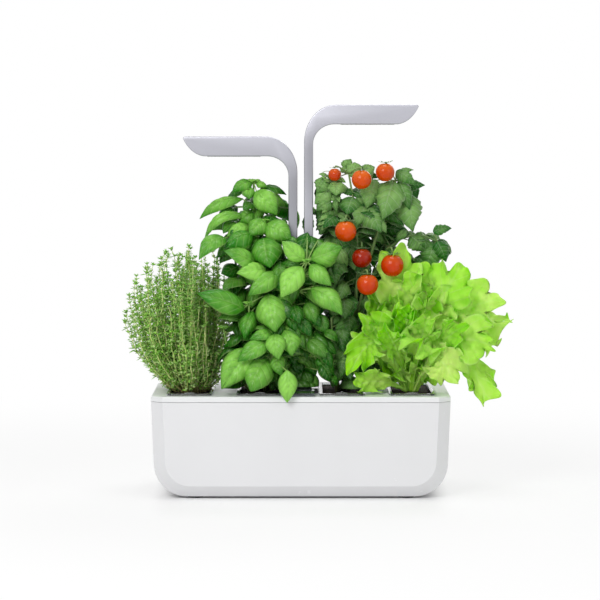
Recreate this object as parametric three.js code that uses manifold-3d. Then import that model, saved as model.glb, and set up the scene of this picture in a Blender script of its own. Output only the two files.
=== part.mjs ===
// Countertop hydroponic garden: a white water tank, a lift-off deck that carries four plant pots
// and a console, two LED lamps that slide on posts, a refill flap over a level float, and four
// grown plants. Millimetres. +Z is up, +X is to the right and the front faces -Y. The origin is
// the middle of the flat pad in the centre of the tank's underside.
import * as THREE from "three";
import { mergeVertices } from "three/addons/utils/BufferGeometryUtils.js";
import Module from "manifold-3d";

const wasm = await Module();
wasm.setup();

// Clearances
const gap = 0.3; // between pieces that touch
const runningGap = 0.4; // around pieces that slide
const overrun = 3; // how far a cut passes the face that it opens
const weld = 0.0001; // points closer than this are one point

// Tank
const sideDraft = 4.5; // how much each side leans in from rim to floor
const cornerRadius = 38;
const bevelWidth = 13.7; // flat bevel round the front and rear panels
const bevelDepth = 12;
const bevelRise = 13;
const panelRadius = 28; // lower corners of the front panel inside the bevel
const wall = 2.6;
const footProud = 2.5;
const footRadius = 9;
const footPocket = 1.2;
const footInsetX = 50;
const footInsetY = 26;
const padRadius = 16;

// Deck
const deckTop = 117;
const deckSkirt = 6;
const deckThickness = 2.4;
const deckEdge = 1.2; // small bevel on the top edge
const seamGap = 0.4;
const lipDrop = 7; // locating lip that reaches down inside the tank
const lipWall = 1.6;
const lipClearance = 0.5;

// Pots, soil and wicks
const potBreadth = 47;
const potGap = 32.5; // between the walls of an inner and an outer pot
const potBesideConsole = 1; // from an inner pot's rim to the console
const potToSide = 20; // from an outer pot's wall to the side of the deck
const potFrontMargin = 16.5;
const potRearMargin = 32.5;
const potTaper = 2.6;
const potDrop = 70;
const potWall = 1.2;
const potCorner = 5;
const rimOverhang = 2.5;
const rimThickness = 2;
const tabWidth = 13.5;
const tabHeight = 2.2;
const tabDepth = 3;
const soilBelowRim = 3;
const wickWidth = 14;
const wickThickness = 2;
const wickAboveFloor = 9.4;
const potSlotShares = [-0.3, 0, 0.3]; // along the length, from its middle

// Console between the inner pots
const consoleDepth = 47;
const consoleRearMargin = 24; // to the rear of the tank
const consoleWall = 1.6;
const flangeThickness = 1.5;
const flangeSide = 1.5;
const flangeEnd = 7.5;
const coverThickness = 3;
const coverCorner = 4;
const coverEdge = 0.8;
const socketHeight = 20;
const socketWall = 1.5;
const screwRadius = 1.4;
const screwHeadRadius = 2.6;
const screwHeadHeight = 1.8;
const screwInset = 4;
const screwTipCover = 0.8; // cover left above the screw's tip

// Push button
const buttonRadius = 6;
const buttonProud = 1;
const buttonFlange = 1;
const buttonFlangeThickness = 1.4;
const buttonStemRadius = 2;
const buttonTravel = 1;

// Circuit boards
const boardThickness = 1.6;
const boardHalfWidth = 15.5;
const boardSideRoom = 1.4; // from a board to the console's wall
const controlBoardDepth = 10; // below the top of the deck
const controlBoardLength = 19.4;
const controlBoardRoom = 4.2; // from its bay to the posts' sockets
const switchSize = 6;
const driverBoardDepth = 19; // below the top of the deck
const driverBoardLength = 28;
const driverBoardRoom = 2.6; // from its bay to the posts' sockets
const ledgeHeight = 3.5;
const ledgeWidth = 2;
const terminalHeight = 8;
const terminalSize = 8;
const coilRadius = 5;
const coilHeight = 6;
const capRadius = 3.5;
const capHeight = 10;
const partOffset = 9; // sideways place of the coil and the capacitor

// Power inlet
const inletDepth = 13; // middle of the inlet below the top of the deck
const inletBodyRadius = 5.5;
const inletBodyLength = 9.5;
const inletNoseRadius = 4.4;
const inletNoseProud = 0.9;
const inletFlangeRadius = 7.2;
const inletFlangeThickness = 2.5;
const inletBoreRadius = 2.8;
const inletBoreDepth = 10;
const inletPinRadius = 1;
const inletPinShort = 2.5; // how far the pin ends inside the nose
const tongueHalfWidth = 13;
const tongueDrop = 16.5;
const leadRadius = 1.3;

// Refill chute, flap and float
const chuteHalfWidth = 13;
const chuteFrontMargin = 11; // to the front of the tank
const chuteLength = 25.2;
const chuteDepth = 55;
const chuteWall = 1.2;
const chuteFlange = 1.5;
const chuteFlangeThickness = 1.2;
const slotHeight = 30;
const slotWidth = 3;
const chuteSlotShares = [-0.25, 0.25]; // along the depth, from its middle
const hingeBehind = 4.3; // hinge axis behind the chute
const hingeRise = 2.8; // hinge axis above the deck
const hingeToConsole = 1; // from the knuckles to the console's flange
const knuckleRadius = 2;
const pinRadius = 0.8;
const earWidth = 3;
const flapHalfWidth = 15.5;
const flapReach = 36;
const flapThickness = 2;
const flapLip = 1.2;
const floatHeight = 16;
const floatStemSize = 3;
const floatStemHeight = 16;

// Lamp posts and arms
const armX = 9.05; // middle of each arm from the centre line
const postThickness = 7;
const postBreadth = 44;
const postWall = 1.2;
const sleeveGrip = 37.3; // length of each post inside the right lamp at rest
const capPlug = 8;
const capCrown = 4.5;
const armWall = 1.2;
const armSideRoom = 0.45; // from a post's broad face to the arm's inner face
const armEndRoom = 6; // from a post's narrow face to the arm's outer face
const armEdge = 2.2;
const lampTop = 447; // top of the right lamp
const lampDrop = 36.7; // how much lower the left lamp stands
const mouthBelowTop = 154.3; // lower end of the arm's sleeve below the lamp's top
const headReach = 135.5; // tip of a lamp from the centre line
const headThickness = 22.6;
const outerBendX = 36.6;
const outerBendZ = 43.3;
const innerBendX = 24.5;
const innerBendZ = 22.9;
const noseLength = 23.7;
const noseTop = 2.4; // height of the blunt tip under the top edge
const nosePullXShare = 0.36; // fullness of the nose: share of its length
const nosePullZShare = 0.11; // and share of the head's thickness
const collarHeight = 2.7;
const collarTongue = 12;
const collarTongueBreadth = 3.4;
const stripThickness = 1;
const stripWidth = 4;
const brushHeight = 10;
const brushLift = 8;
const windowToBend = 7.3; // from the end of the inner bend to the lamp window
const windowToNose = 3.8;
const windowSide = 5.5; // from the window to the arm's outer face
const lensLedge = 2.5;
const lensThickness = 1.2;
const lensProud = 0.5;
const ledBoardLift = 6;
const ledSize = 3;
const ledHeight = 1;
const ledColumns = 6;
const ledRows = 2;
const hangerThickness = 2;
const hangerShares = [0.2, 0.8]; // along the window

// Plants
const leafGap = 1.6; // foliage to anything that is not its own plant
const hangDepth = 19; // lowest leaf beyond the edge of the deck, below its top
const lampLowering = 20; // travel kept free under the lamps
const bladeThickness = 1.4;
const petioleRadius = 1;
const crownHeight = 4;
const stemSpread = 11;
const stemTipShare = 0.45; // of the stem's radius at its foot
const crownTopShare = 0.8; // of the crown's spread at the soil
const crownCornerShare = 0.6; // of the crown's spread
const stalkEndShare = 0.12; // how far a leaf's stalk runs into its blade
const shorterShares = [1, 0.85, 0.7, 0.55]; // sizes tried for a leaf that meets something

const thymeHeight = 168;
const thymeSprigRadius = 3.8;
const thymeSpreadX = 18;
const thymeSpreadY = 26;
const thymeSprigs = 36;
const thymeLean = 1.1; // largest lean from upright, in radians
const thymeLongShares = [0.97, 0.84]; // length of a sprig in the middle and at the edge
const thymeLongScatterShares = [0.85, 1.03];
const thymeReachXShare = 0.62; // how far a leaning sprig reaches to the side
const thymeReachYShare = 0.4; // and to the front or rear
const thymeRiseShare = 0.72; // how much of its lean lowers a sprig
const thymeBareShare = 0.4; // thickness of a sprig without leaves
const thymeLeafyShares = [0.45, 1]; // thickness of its leafy part, between and at the whorls
const thymeBorderShare = 0.55; // lean of the border to the basil, in plan

const basilHeight = 244;
const basilStemRadius = 2.2;
const basilBackShares = [0.19, 0.12]; // length and width of the leaves behind

const tomatoHeight = 270;
const tomatoStemRadius = 2.6;
const fruitRadius = 11.4;
const fruitStalkRadius = 1;
const tomatoBackShares = [0.14, 0.09]; // length and width of the leaves behind

const lettuceHeight = 174;
const heartHeight = 14;
const lettuceBorderShare = 0.75; // lean of the border to the tomato, in plan
const lettuceRearShare = 0.72; // height behind, under the tomato's side branch
const ruffleShare = 0.16; // of a leaf's half width
const lettuceFootShares = [0.1, 0.2]; // how far each leaf's foot follows its bend, in X and Y

// Derived sizes and places. The console is as long as what it holds, and the tank as deep and as
// wide as what stands in its deck.
const consoleHalfWidth = boardHalfWidth + boardSideRoom + consoleWall;
const socketLength = postBreadth + 2 * (gap + socketWall);
const consoleLength = consoleWall + controlBoardLength + controlBoardRoom + socketLength
  + driverBoardRoom + driverBoardLength + consoleWall;
const chuteToConsole = hingeBehind + knuckleRadius + hingeToConsole + flangeEnd;
const tankDepth = chuteFrontMargin + chuteLength + chuteToConsole + consoleLength + consoleRearMargin;
const chuteFront = chuteFrontMargin - tankDepth / 2;
const chuteRear = chuteFront + chuteLength;
const hingeY = chuteRear + hingeBehind;
const consoleFront = chuteRear + chuteToConsole;
const consoleRear = consoleFront + consoleLength;
const buttonY = consoleFront + consoleWall + controlBoardLength / 2 - gap;
const postY = consoleFront + consoleWall + controlBoardLength + controlBoardRoom + socketLength / 2;
const potPitchInner = consoleHalfWidth + flangeSide + potBesideConsole + rimOverhang + potBreadth / 2;
const potPitchOuter = potPitchInner + potBreadth + potGap;
const potLength = tankDepth - potFrontMargin - potRearMargin;
const potCentreY = (potFrontMargin - potRearMargin) / 2;
const potPlaces = [-potPitchOuter, -potPitchInner, potPitchInner, potPitchOuter];
const tankWidth = 2 * (potPitchOuter + potBreadth / 2 + potToSide);
const tankTop = deckTop - deckSkirt - seamGap;
const deckBottom = deckTop - deckSkirt;
const deckUnder = deckTop - deckThickness;
const rimBottom = deckTop + gap;
const rimTop = rimBottom + rimThickness;
const soilTop = rimTop - soilBelowRim;
const soilBottom = rimBottom - potDrop + potWall + gap;
const wickBottom = footProud + wall + wickAboveFloor;
const consoleBottom = deckTop - consoleDepth;
const flangeBottom = deckTop + gap;
const flangeTop = flangeBottom + flangeThickness;
const coverBottom = flangeTop + gap;
const coverTop = coverBottom + coverThickness;
const controlBoardZ = deckTop - controlBoardDepth;
const driverBoardZ = deckTop - driverBoardDepth;
const inletZ = deckTop - inletDepth;
const hingeZ = deckTop + hingeRise;
const chuteTop = deckTop + gap + chuteFlangeThickness;
const chuteBottom = deckTop - chuteDepth;
const lampTopLeft = lampTop - lampDrop;
const postFoot = consoleBottom + consoleWall + gap;
const postTop = lampTop - mouthBelowTop + sleeveGrip;
const armThickness = postThickness + 2 * (armSideRoom + armWall);
const armBreadth = postBreadth + 2 * armEndRoom;
const windowStart = armX + armThickness / 2 + innerBendX + windowToBend;
const windowLength = headReach - noseLength - windowToNose - windowStart;
const windowBreadth = armBreadth - 2 * windowSide;
const hangLimit = deckTop - hangDepth;

// Solids and geometries

// A closed geometry as a solid.
function solid(geometry) {
  const bare = geometry.index ? geometry.toNonIndexed() : geometry.clone();
  bare.deleteAttribute("normal");
  bare.deleteAttribute("uv");
  const merged = mergeVertices(bare, weld);
  const mesh = new wasm.Mesh({
    numProp: 3,
    vertProperties: new Float32Array(merged.attributes.position.array),
    triVerts: new Uint32Array(merged.index.array),
  });
  return new wasm.Manifold(mesh);
}

// A solid as a geometry with flat-shaded faces.
function geometryOf(shape) {
  const mesh = shape.getMesh();
  const geometry = new THREE.BufferGeometry();
  const places = new Float32Array(mesh.numVert * 3);
  for (let i = 0; i < mesh.numVert; i += 1) {
    const from = i * mesh.numProp;
    places.set(mesh.vertProperties.subarray(from, from + 3), i * 3);
  }
  geometry.setAttribute("position", new THREE.BufferAttribute(places, 3));
  geometry.setIndex(new THREE.BufferAttribute(new Uint32Array(mesh.triVerts), 1));
  geometry.computeVertexNormals();
  return geometry;
}

function joined(shapes) {
  return shapes.reduce((sum, shape) => sum.add(shape));
}

// A box between two corners.
function block(x0, x1, y0, y1, z0, z1) {
  const geometry = new THREE.BoxGeometry(x1 - x0, y1 - y0, z1 - z0);
  geometry.translate((x0 + x1) / 2, (y0 + y1) / 2, (z0 + z1) / 2);
  return solid(geometry);
}

// A round bar along one axis, from one end to the other.
function rod(axis, radius, from, to, centre, sides = 20) {
  const geometry = new THREE.CylinderGeometry(radius, radius, to - from, sides);
  if (axis === "x") geometry.rotateZ(Math.PI / 2);
  if (axis === "z") geometry.rotateX(Math.PI / 2);
  const middle = new THREE.Vector3(...centre);
  middle[axis] = (from + to) / 2;
  geometry.translate(middle.x, middle.y, middle.z);
  return solid(geometry);
}

// A closed skin over rings of equal count, with a fan to a point at each end.
function skin(rings, start, end) {
  const count = rings[0].length;
  const points = [start, ...rings.flat(), end];
  const faces = [];
  for (let i = 0; i < count; i += 1) {
    const next = (i + 1) % count;
    faces.push(0, 1 + next, 1 + i);
    for (let r = 0; r + 1 < rings.length; r += 1) {
      const low = 1 + r * count;
      const high = low + count;
      faces.push(low + i, low + next, high + next, low + i, high + next, high + i);
    }
    const last = 1 + (rings.length - 1) * count;
    faces.push(points.length - 1, last + i, last + next);
  }
  let volume = 0;
  for (let f = 0; f < faces.length; f += 3) {
    const [a, b, c] = [points[faces[f]], points[faces[f + 1]], points[faces[f + 2]]];
    volume += new THREE.Vector3().crossVectors(a, b).dot(c);
  }
  const geometry = new THREE.BufferGeometry().setFromPoints(points);
  geometry.setIndex(volume > 0 ? faces : faces.reverse());
  return solid(geometry);
}

function middleOf(ring) {
  const sum = ring.reduce((total, point) => total.add(point), new THREE.Vector3());
  return sum.divideScalar(ring.length);
}

// A skin with flat ends.
function loft(rings) {
  return skin(rings, middleOf(rings[0]), middleOf(rings[rings.length - 1]));
}

// A round bar along a list of points, with its own radius at each point.
function stalk(points, radii, sides = 5) {
  const rings = points.map((point, i) => {
    const before = points[Math.max(i - 1, 0)];
    const after = points[Math.min(i + 1, points.length - 1)];
    const along = new THREE.Vector3().subVectors(after, before).normalize();
    const away = Math.abs(along.y) > 0.9 ? new THREE.Vector3(1, 0, 0) : new THREE.Vector3(0, 1, 0);
    const side = new THREE.Vector3().crossVectors(along, away).normalize();
    const other = new THREE.Vector3().crossVectors(along, side);
    return Array.from({ length: sides }, (unused, k) => {
      const turn = (k / sides) * 2 * Math.PI;
      return point
        .clone()
        .addScaledVector(side, Math.cos(turn) * radii[i])
        .addScaledVector(other, Math.sin(turn) * radii[i]);
    });
  });
  return loft(rings);
}

// A rectangle with round corners as a ring of points at one height.
function roundRing(x, y, z, halfX, halfY, radius, steps = 2) {
  const ring = [];
  const quarters = [[1, 1], [-1, 1], [-1, -1], [1, -1]];
  quarters.forEach(([sx, sy], quarter) => {
    for (let k = 0; k <= steps; k += 1) {
      const turn = ((quarter + k / steps) * Math.PI) / 2;
      ring.push(new THREE.Vector3(
        x + sx * (halfX - radius) + Math.cos(turn) * radius,
        y + sy * (halfY - radius) + Math.sin(turn) * radius,
        z,
      ));
    }
  });
  return ring;
}

const colours = {
  shell: ["#eceded", 0.25, 0],
  deck: ["#f1f2f2", 0.2, 0],
  rubber: ["#2b2c2e", 0.8, 0],
  console: ["#17191b", 0.15, 0],
  housing: ["#3a3d40", 0.6, 0],
  post: ["#3d4550", 0.45, 0.4],
  arm: ["#bfc0ca", 0.35, 0.8],
  lens: ["#f4f6f2", 0.3, 0],
  board: ["#e9eee9", 0.5, 0],
  circuit: ["#1d5a36", 0.5, 0],
  brass: ["#c8a04a", 0.3, 1],
  steel: ["#a8abb0", 0.3, 1],
  lead: ["#202124", 0.6, 0],
  smoke: ["#8c9698", 0.1, 0],
  float: ["#e06a1c", 0.4, 0],
  pot: ["#e4e9ea", 0.1, 0],
  soil: ["#241a14", 0.95, 0],
  wick: ["#dcd8cc", 0.9, 0],
  thyme: ["#6d8f45", 0.7, 0],
  basil: ["#4fa32c", 0.4, 0],
  tomatoLeaf: ["#2f6b34", 0.6, 0],
  fruit: ["#dd3514", 0.2, 0],
  lettuce: ["#9fdc2c", 0.5, 0],
};

const garden = new THREE.Group();

function place(name, shape, colour, group = garden) {
  const [color, roughness, metalness] = colours[colour];
  const material = new THREE.MeshStandardMaterial({ color, roughness, metalness });
  const mesh = new THREE.Mesh(geometryOf(shape), material);
  mesh.name = name;
  group.add(mesh);
  return mesh;
}

// Tank

// Front outline of the tank at one depth: square at the rim, round at the floor.
function tankRing(y, inset, floor, radius, top) {
  const steps = 7;
  const rim = tankWidth / 2 - inset;
  const lean = (sideDraft * (tankTop - floor - radius)) / tankTop;
  const centreX = rim - lean - radius;
  const ring = [new THREE.Vector3(rim, y, top)];
  for (let side = 0; side < 2; side += 1) {
    for (let k = 0; k <= steps; k += 1) {
      const turn = -((side + k / steps) * Math.PI) / 2;
      const x = (side ? -centreX : centreX) + Math.cos(turn) * radius;
      ring.push(new THREE.Vector3(x, y, floor + radius + Math.sin(turn) * radius));
    }
  }
  ring.push(new THREE.Vector3(-rim, y, top));
  return ring;
}

function tankBulk(offset, top) {
  const panel = tankDepth / 2 - offset;
  const shoulder = tankDepth / 2 - bevelDepth;
  const floor = footProud + offset;
  const front = (y) => tankRing(y, bevelWidth, floor + bevelRise, panelRadius - offset, top);
  const middle = (y) => tankRing(y, offset, floor, cornerRadius - offset, top);
  return loft([front(-panel), middle(-shoulder), middle(shoulder), front(panel)]);
}

const footX = tankWidth / 2 - footInsetX;
const footY = tankDepth / 2 - footInsetY;
const footPlaces = [
  ["foot_front_left", -footX, -footY],
  ["foot_front_right", footX, -footY],
  ["foot_rear_left", -footX, footY],
  ["foot_rear_right", footX, footY],
];

function makeTank() {
  let tank = tankBulk(0, tankTop).subtract(tankBulk(wall, tankTop + overrun));
  tank = tank.add(rod("z", padRadius, 0, footProud + wall / 2, [0, 0, 0], 28));
  for (const [, x, y] of footPlaces) {
    const pocketTop = footProud + footPocket;
    tank = tank.subtract(rod("z", footRadius + gap, -overrun, pocketTop, [x, y, 0], 24));
  }
  const notch = tongueHalfWidth + lipClearance;
  const notchFloor = deckBottom - tongueDrop - lipClearance;
  const inner = tankDepth / 2 - wall - overrun;
  return tank.subtract(block(-notch, notch, inner, tankDepth / 2 + overrun, notchFloor, deckTop));
}

place("tank", makeTank(), "shell");
for (const [name, x, y] of footPlaces) {
  place(name, rod("z", footRadius, 0, footProud + footPocket - gap, [x, y, 0], 24), "rubber");
}

// Deck

// Plan outline of the deck, a rectangle with bevelled corners.
function deckRing(inset, z) {
  const x = tankWidth / 2 - inset;
  const y = tankDepth / 2 - inset;
  const corners = [
    [x, bevelDepth - y], [x, y - bevelDepth], [x - bevelWidth, y], [bevelWidth - x, y],
    [-x, y - bevelDepth], [-x, bevelDepth - y], [bevelWidth - x, -y], [x - bevelWidth, -y],
  ];
  return corners.map(([px, py]) => new THREE.Vector3(px, py, z));
}

function deckBulk(inset, z0, z1) {
  return loft([deckRing(inset, z0), deckRing(inset, z1)]);
}

function makeDeck() {
  const shell = loft([
    deckRing(0, deckBottom),
    deckRing(0, deckTop - deckEdge),
    deckRing(deckEdge, deckTop),
  ]);
  const lipOut = wall + lipClearance;
  const lip = deckBulk(lipOut, deckBottom - lipDrop, deckUnder + gap).subtract(
    deckBulk(lipOut + lipWall, deckBottom - lipDrop - overrun, deckTop),
  );
  const tongueFloor = deckBottom - tongueDrop;
  const tongueFace = tankDepth / 2;
  const besideInlet = block(
    -tongueHalfWidth, tongueHalfWidth, tongueFace / 2, tongueFace - wall, tongueFloor, deckUnder,
  );
  const parts = [
    shell.subtract(deckBulk(wall, deckBottom - overrun, deckUnder)),
    lip.subtract(besideInlet),
    block(-tongueHalfWidth, tongueHalfWidth, tongueFace - wall, tongueFace, tongueFloor, deckBottom + wall),
  ];
  for (const side of [-1, 1]) {
    const inner = flapHalfWidth - earWidth;
    const x0 = side > 0 ? inner : -flapHalfWidth;
    const x1 = side > 0 ? flapHalfWidth : -inner;
    const foot = deckTop - deckThickness / 2;
    parts.push(block(x0, x1, hingeY - knuckleRadius, hingeY + knuckleRadius, foot, hingeZ));
    parts.push(rod("x", knuckleRadius, x0, x1, [0, hingeY, hingeZ], 16));
  }
  let deck = joined(parts);
  const halfX = potBreadth / 2 + runningGap;
  const halfY = potLength / 2 + runningGap;
  for (const x of potPlaces) {
    const [y0, y1] = [potCentreY - halfY, potCentreY + halfY];
    deck = deck.subtract(block(x - halfX, x + halfX, y0, y1, deckUnder - overrun, deckTop + overrun));
  }
  const cuts = [
    block(
      -consoleHalfWidth - runningGap, consoleHalfWidth + runningGap,
      consoleFront - runningGap, consoleRear + runningGap,
      deckUnder - overrun, deckTop + overrun,
    ),
    block(
      -chuteHalfWidth - runningGap, chuteHalfWidth + runningGap,
      chuteFront - runningGap, chuteRear + runningGap,
      deckUnder - overrun, deckTop + overrun,
    ),
    rod("x", pinRadius + gap, -flapHalfWidth - overrun, flapHalfWidth + overrun, [0, hingeY, hingeZ], 12),
    rod("y", inletNoseRadius + gap, tongueFace - wall - overrun, tongueFace + overrun, [0, 0, inletZ]),
  ];
  for (const y of screwPlaces) {
    cuts.push(rod("z", screwRadius + gap, deckUnder - overrun, deckTop + overrun, [0, y, 0], 12));
  }
  return cuts.reduce((rest, cut) => rest.subtract(cut), deck);
}

const screwPlaces = [
  consoleFront - flangeEnd + screwInset,
  consoleRear + flangeEnd - screwInset,
];
place("deck", makeDeck(), "deck");

// Pots with their soil and wicks

function makePot(x) {
  const halfX = potBreadth / 2;
  const halfY = potLength / 2;
  const bottom = rimBottom - potDrop;
  const ring = (z, inset) => roundRing(x, potCentreY, z, halfX - inset, halfY - inset, potCorner);
  const outside = joined([
    loft([ring(bottom, potTaper), ring(rimTop, 0)]),
    loft([ring(rimBottom, -rimOverhang), ring(rimTop, -rimOverhang)]),
  ]);
  const inside = loft([ring(bottom + potWall, potTaper + potWall), ring(rimTop + overrun, potWall)]);
  const halfTab = new THREE.Shape();
  halfTab.absellipse(0, 0, tabWidth / 2, tabHeight, 0, Math.PI);
  const options = { depth: tabDepth, bevelEnabled: false, curveSegments: 10 };
  const arch = new THREE.ExtrudeGeometry(halfTab, options);
  arch.rotateX(Math.PI / 2);
  const front = potCentreY - halfY - rimOverhang + tabDepth;
  arch.translate(x, front, rimTop - gap);
  const slot = wickWidth / 2 + runningGap;
  const slit = wickThickness / 2 + runningGap;
  let pot = outside.subtract(inside).add(solid(arch));
  for (const share of potSlotShares) {
    const y = potCentreY + share * potLength;
    pot = pot.subtract(block(x - slot, x + slot, y - slit, y + slit, bottom - overrun, bottom + overrun));
  }
  return pot;
}

function makeSoil(x) {
  const inset = potWall + gap;
  const taperAt = (z) => (potTaper * (rimTop - z)) / (rimTop - rimBottom + potDrop);
  const ring = (z, extra) => roundRing(
    x, potCentreY, z,
    potBreadth / 2 - inset - taperAt(z) - extra,
    potLength / 2 - inset - taperAt(z) - extra,
    potCorner - potWall,
  );
  return loft([ring(soilBottom, gap), ring(soilTop - potWall, gap), ring(soilTop, potWall)]);
}

function makeWick(x) {
  const top = soilBottom - gap;
  const [halfX, halfY] = [wickWidth / 2, wickThickness / 2];
  return block(x - halfX, x + halfX, potCentreY - halfY, potCentreY + halfY, wickBottom, top);
}

potPlaces.forEach((x, i) => {
  place(`pot_${i + 1}`, makePot(x), "pot");
  place(`soil_${i + 1}`, makeSoil(x), "soil");
  place(`wick_${i + 1}`, makeWick(x), "wick");
});

// Console

const postPlaces = [["left", -armX], ["right", armX]];
const stripRear = postY + postBreadth / 2 + gap + stripThickness;

function makeHousing() {
  const bulk = joined([
    block(-consoleHalfWidth, consoleHalfWidth, consoleFront, consoleRear, consoleBottom, flangeTop),
    block(
      -consoleHalfWidth - flangeSide, consoleHalfWidth + flangeSide,
      consoleFront - flangeEnd, consoleRear + flangeEnd, flangeBottom, flangeTop,
    ),
  ]);
  const innerX = consoleHalfWidth - consoleWall;
  const innerFront = consoleFront + consoleWall;
  const innerRear = consoleRear - consoleWall;
  const floor = consoleBottom + consoleWall;
  let housing = bulk.subtract(block(-innerX, innerX, innerFront, innerRear, floor, flangeTop + overrun));
  for (const [, x] of postPlaces) {
    const halfX = postThickness / 2 + gap;
    const halfY = postBreadth / 2 + gap;
    const socket = block(
      x - halfX - socketWall, x + halfX + socketWall,
      postY - halfY - socketWall, postY + halfY + socketWall,
      floor - gap, floor + socketHeight,
    );
    const pocket = block(
      x - halfX, x + halfX, postY - halfY, postY + halfY,
      floor, floor + socketHeight + overrun,
    );
    housing = housing.add(socket).subtract(pocket);
  }
  const ledges = [
    [innerFront, controlBoardLength, controlBoardZ],
    [innerRear - driverBoardLength, driverBoardLength, driverBoardZ],
  ];
  for (const [y, length, z] of ledges) {
    for (const side of [-1, 1]) {
      const [x0, x1] = [side * (innerX + consoleWall / 2), side * (innerX - ledgeWidth)];
      housing = housing.add(
        block(Math.min(x0, x1), Math.max(x0, x1), y, y + length, z - gap - ledgeHeight, z - gap),
      );
    }
  }
  housing = housing.subtract(
    rod("y", leadRadius + runningGap, innerRear - overrun, consoleRear + overrun, [0, 0, inletZ], 12),
  );
  for (const y of screwPlaces) {
    housing = housing.subtract(
      rod("z", screwRadius + gap, flangeBottom - overrun, flangeTop + overrun, [0, y, 0], 12),
    );
  }
  return housing;
}

function makeCover() {
  const halfX = consoleHalfWidth + flangeSide;
  const front = consoleFront - flangeEnd;
  const rear = consoleRear + flangeEnd;
  const ring = (z, inset) => roundRing(
    0, (front + rear) / 2, z, halfX - inset, (rear - front) / 2 - inset, coverCorner, 3,
  );
  let cover = loft([ring(coverBottom, 0), ring(coverTop - coverEdge, 0), ring(coverTop, coverEdge)]);
  for (const [, x] of postPlaces) {
    const halfSlot = postThickness / 2 + gap;
    cover = cover.subtract(block(
      x - halfSlot, x + halfSlot, postY - postBreadth / 2 - gap, stripRear + gap,
      coverBottom - overrun, coverTop + overrun,
    ));
  }
  cover = cover.subtract(
    rod("z", buttonRadius + runningGap, coverBottom - overrun, coverTop + overrun, [0, buttonY, 0], 28),
  );
  for (const y of screwPlaces) {
    const tip = coverTop - screwTipCover;
    cover = cover.subtract(rod("z", screwRadius + gap, coverBottom - overrun, tip, [0, y, 0], 12));
  }
  return cover;
}

function makeScrew(y) {
  const under = deckUnder - gap;
  const tip = coverTop - screwTipCover - gap;
  return rod("z", screwHeadRadius, under - screwHeadHeight, under, [0, y, 0], 16).add(
    rod("z", screwRadius, under - screwHeadHeight / 2, tip, [0, y, 0], 12),
  );
}

place("console_housing", makeHousing(), "housing");
place("console_cover", makeCover(), "console");
place("console_screw_front", makeScrew(screwPlaces[0]), "steel");
place("console_screw_rear", makeScrew(screwPlaces[1]), "steel");

// Button and boards

const switchTop = coverBottom - buttonFlangeThickness - runningGap - switchSize;
const buttonStemEnd = switchTop + buttonTravel + gap;

function makeButton() {
  const flangeHigh = coverBottom - runningGap;
  const flangeLow = flangeHigh - buttonFlangeThickness;
  const centre = [0, buttonY, 0];
  return joined([
    rod("z", buttonRadius, flangeLow, coverTop + buttonProud, centre, 28),
    rod("z", buttonRadius + buttonFlange, flangeLow, flangeHigh, centre, 28),
    rod("z", buttonStemRadius, buttonStemEnd, flangeHigh, centre, 12),
  ]);
}

function makeControlBoard() {
  const y0 = consoleFront + consoleWall + gap;
  const y1 = y0 + controlBoardLength - 2 * gap;
  const half = switchSize / 2;
  const top = controlBoardZ + boardThickness;
  const chipX = boardHalfWidth - switchSize;
  return joined([
    block(-boardHalfWidth, boardHalfWidth, y0, y1, controlBoardZ, top),
    block(-half, half, buttonY - half, buttonY + half, top - gap, switchTop),
    block(chipX - half, chipX + half, buttonY - half, buttonY + half, top - gap, top + boardThickness),
    block(-chipX - half, half - chipX, buttonY - half, buttonY, top - gap, top + 2 * boardThickness),
  ]);
}

function makeDriverBoard() {
  const y1 = consoleRear - consoleWall - gap;
  const y0 = y1 - driverBoardLength + 2 * gap;
  const top = driverBoardZ + boardThickness;
  const half = terminalSize / 2;
  const middle = (y0 + y1) / 2;
  return joined([
    block(-boardHalfWidth, boardHalfWidth, y0, y1, driverBoardZ, top),
    block(-half, half, y1 - terminalSize, y1 - gap, top - gap, top + terminalHeight),
    rod("z", coilRadius, top - gap, top + coilHeight, [-partOffset, middle, 0], 14),
    rod("z", capRadius, top - gap, top + capHeight, [partOffset, middle, 0], 14),
  ]);
}

place("power_button", makeButton(), "housing");
place("control_board", makeControlBoard(), "circuit");
place("led_driver_board", makeDriverBoard(), "circuit");

// Power inlet at the rear, with its lead to the driver board

const inletFlangeFace = tankDepth / 2 - wall - gap;
const inletRear = inletFlangeFace - inletFlangeThickness - inletBodyLength;

function makeInlet() {
  const face = tankDepth / 2 + inletNoseProud;
  const centre = [0, 0, inletZ];
  const bulk = joined([
    rod("y", inletNoseRadius, inletFlangeFace - inletFlangeThickness, face, centre),
    rod("y", inletFlangeRadius, inletFlangeFace - inletFlangeThickness, inletFlangeFace, centre),
    rod("y", inletBodyRadius, inletRear, inletFlangeFace - inletFlangeThickness / 2, centre),
  ]);
  const bore = rod("y", inletBoreRadius, face - inletBoreDepth, face + overrun, centre);
  const pin = rod("y", inletPinRadius, face - inletBoreDepth - gap, face - inletPinShort, centre, 10);
  return bulk.subtract(bore).add(pin);
}

place("power_inlet", makeInlet(), "housing");
const leadStart = consoleRear - consoleWall - gap;
place("inlet_lead", rod("y", leadRadius, leadStart, inletRear - gap, [0, 0, inletZ], 10), "lead");

// Refill chute, flap, hinge pin and float

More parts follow.
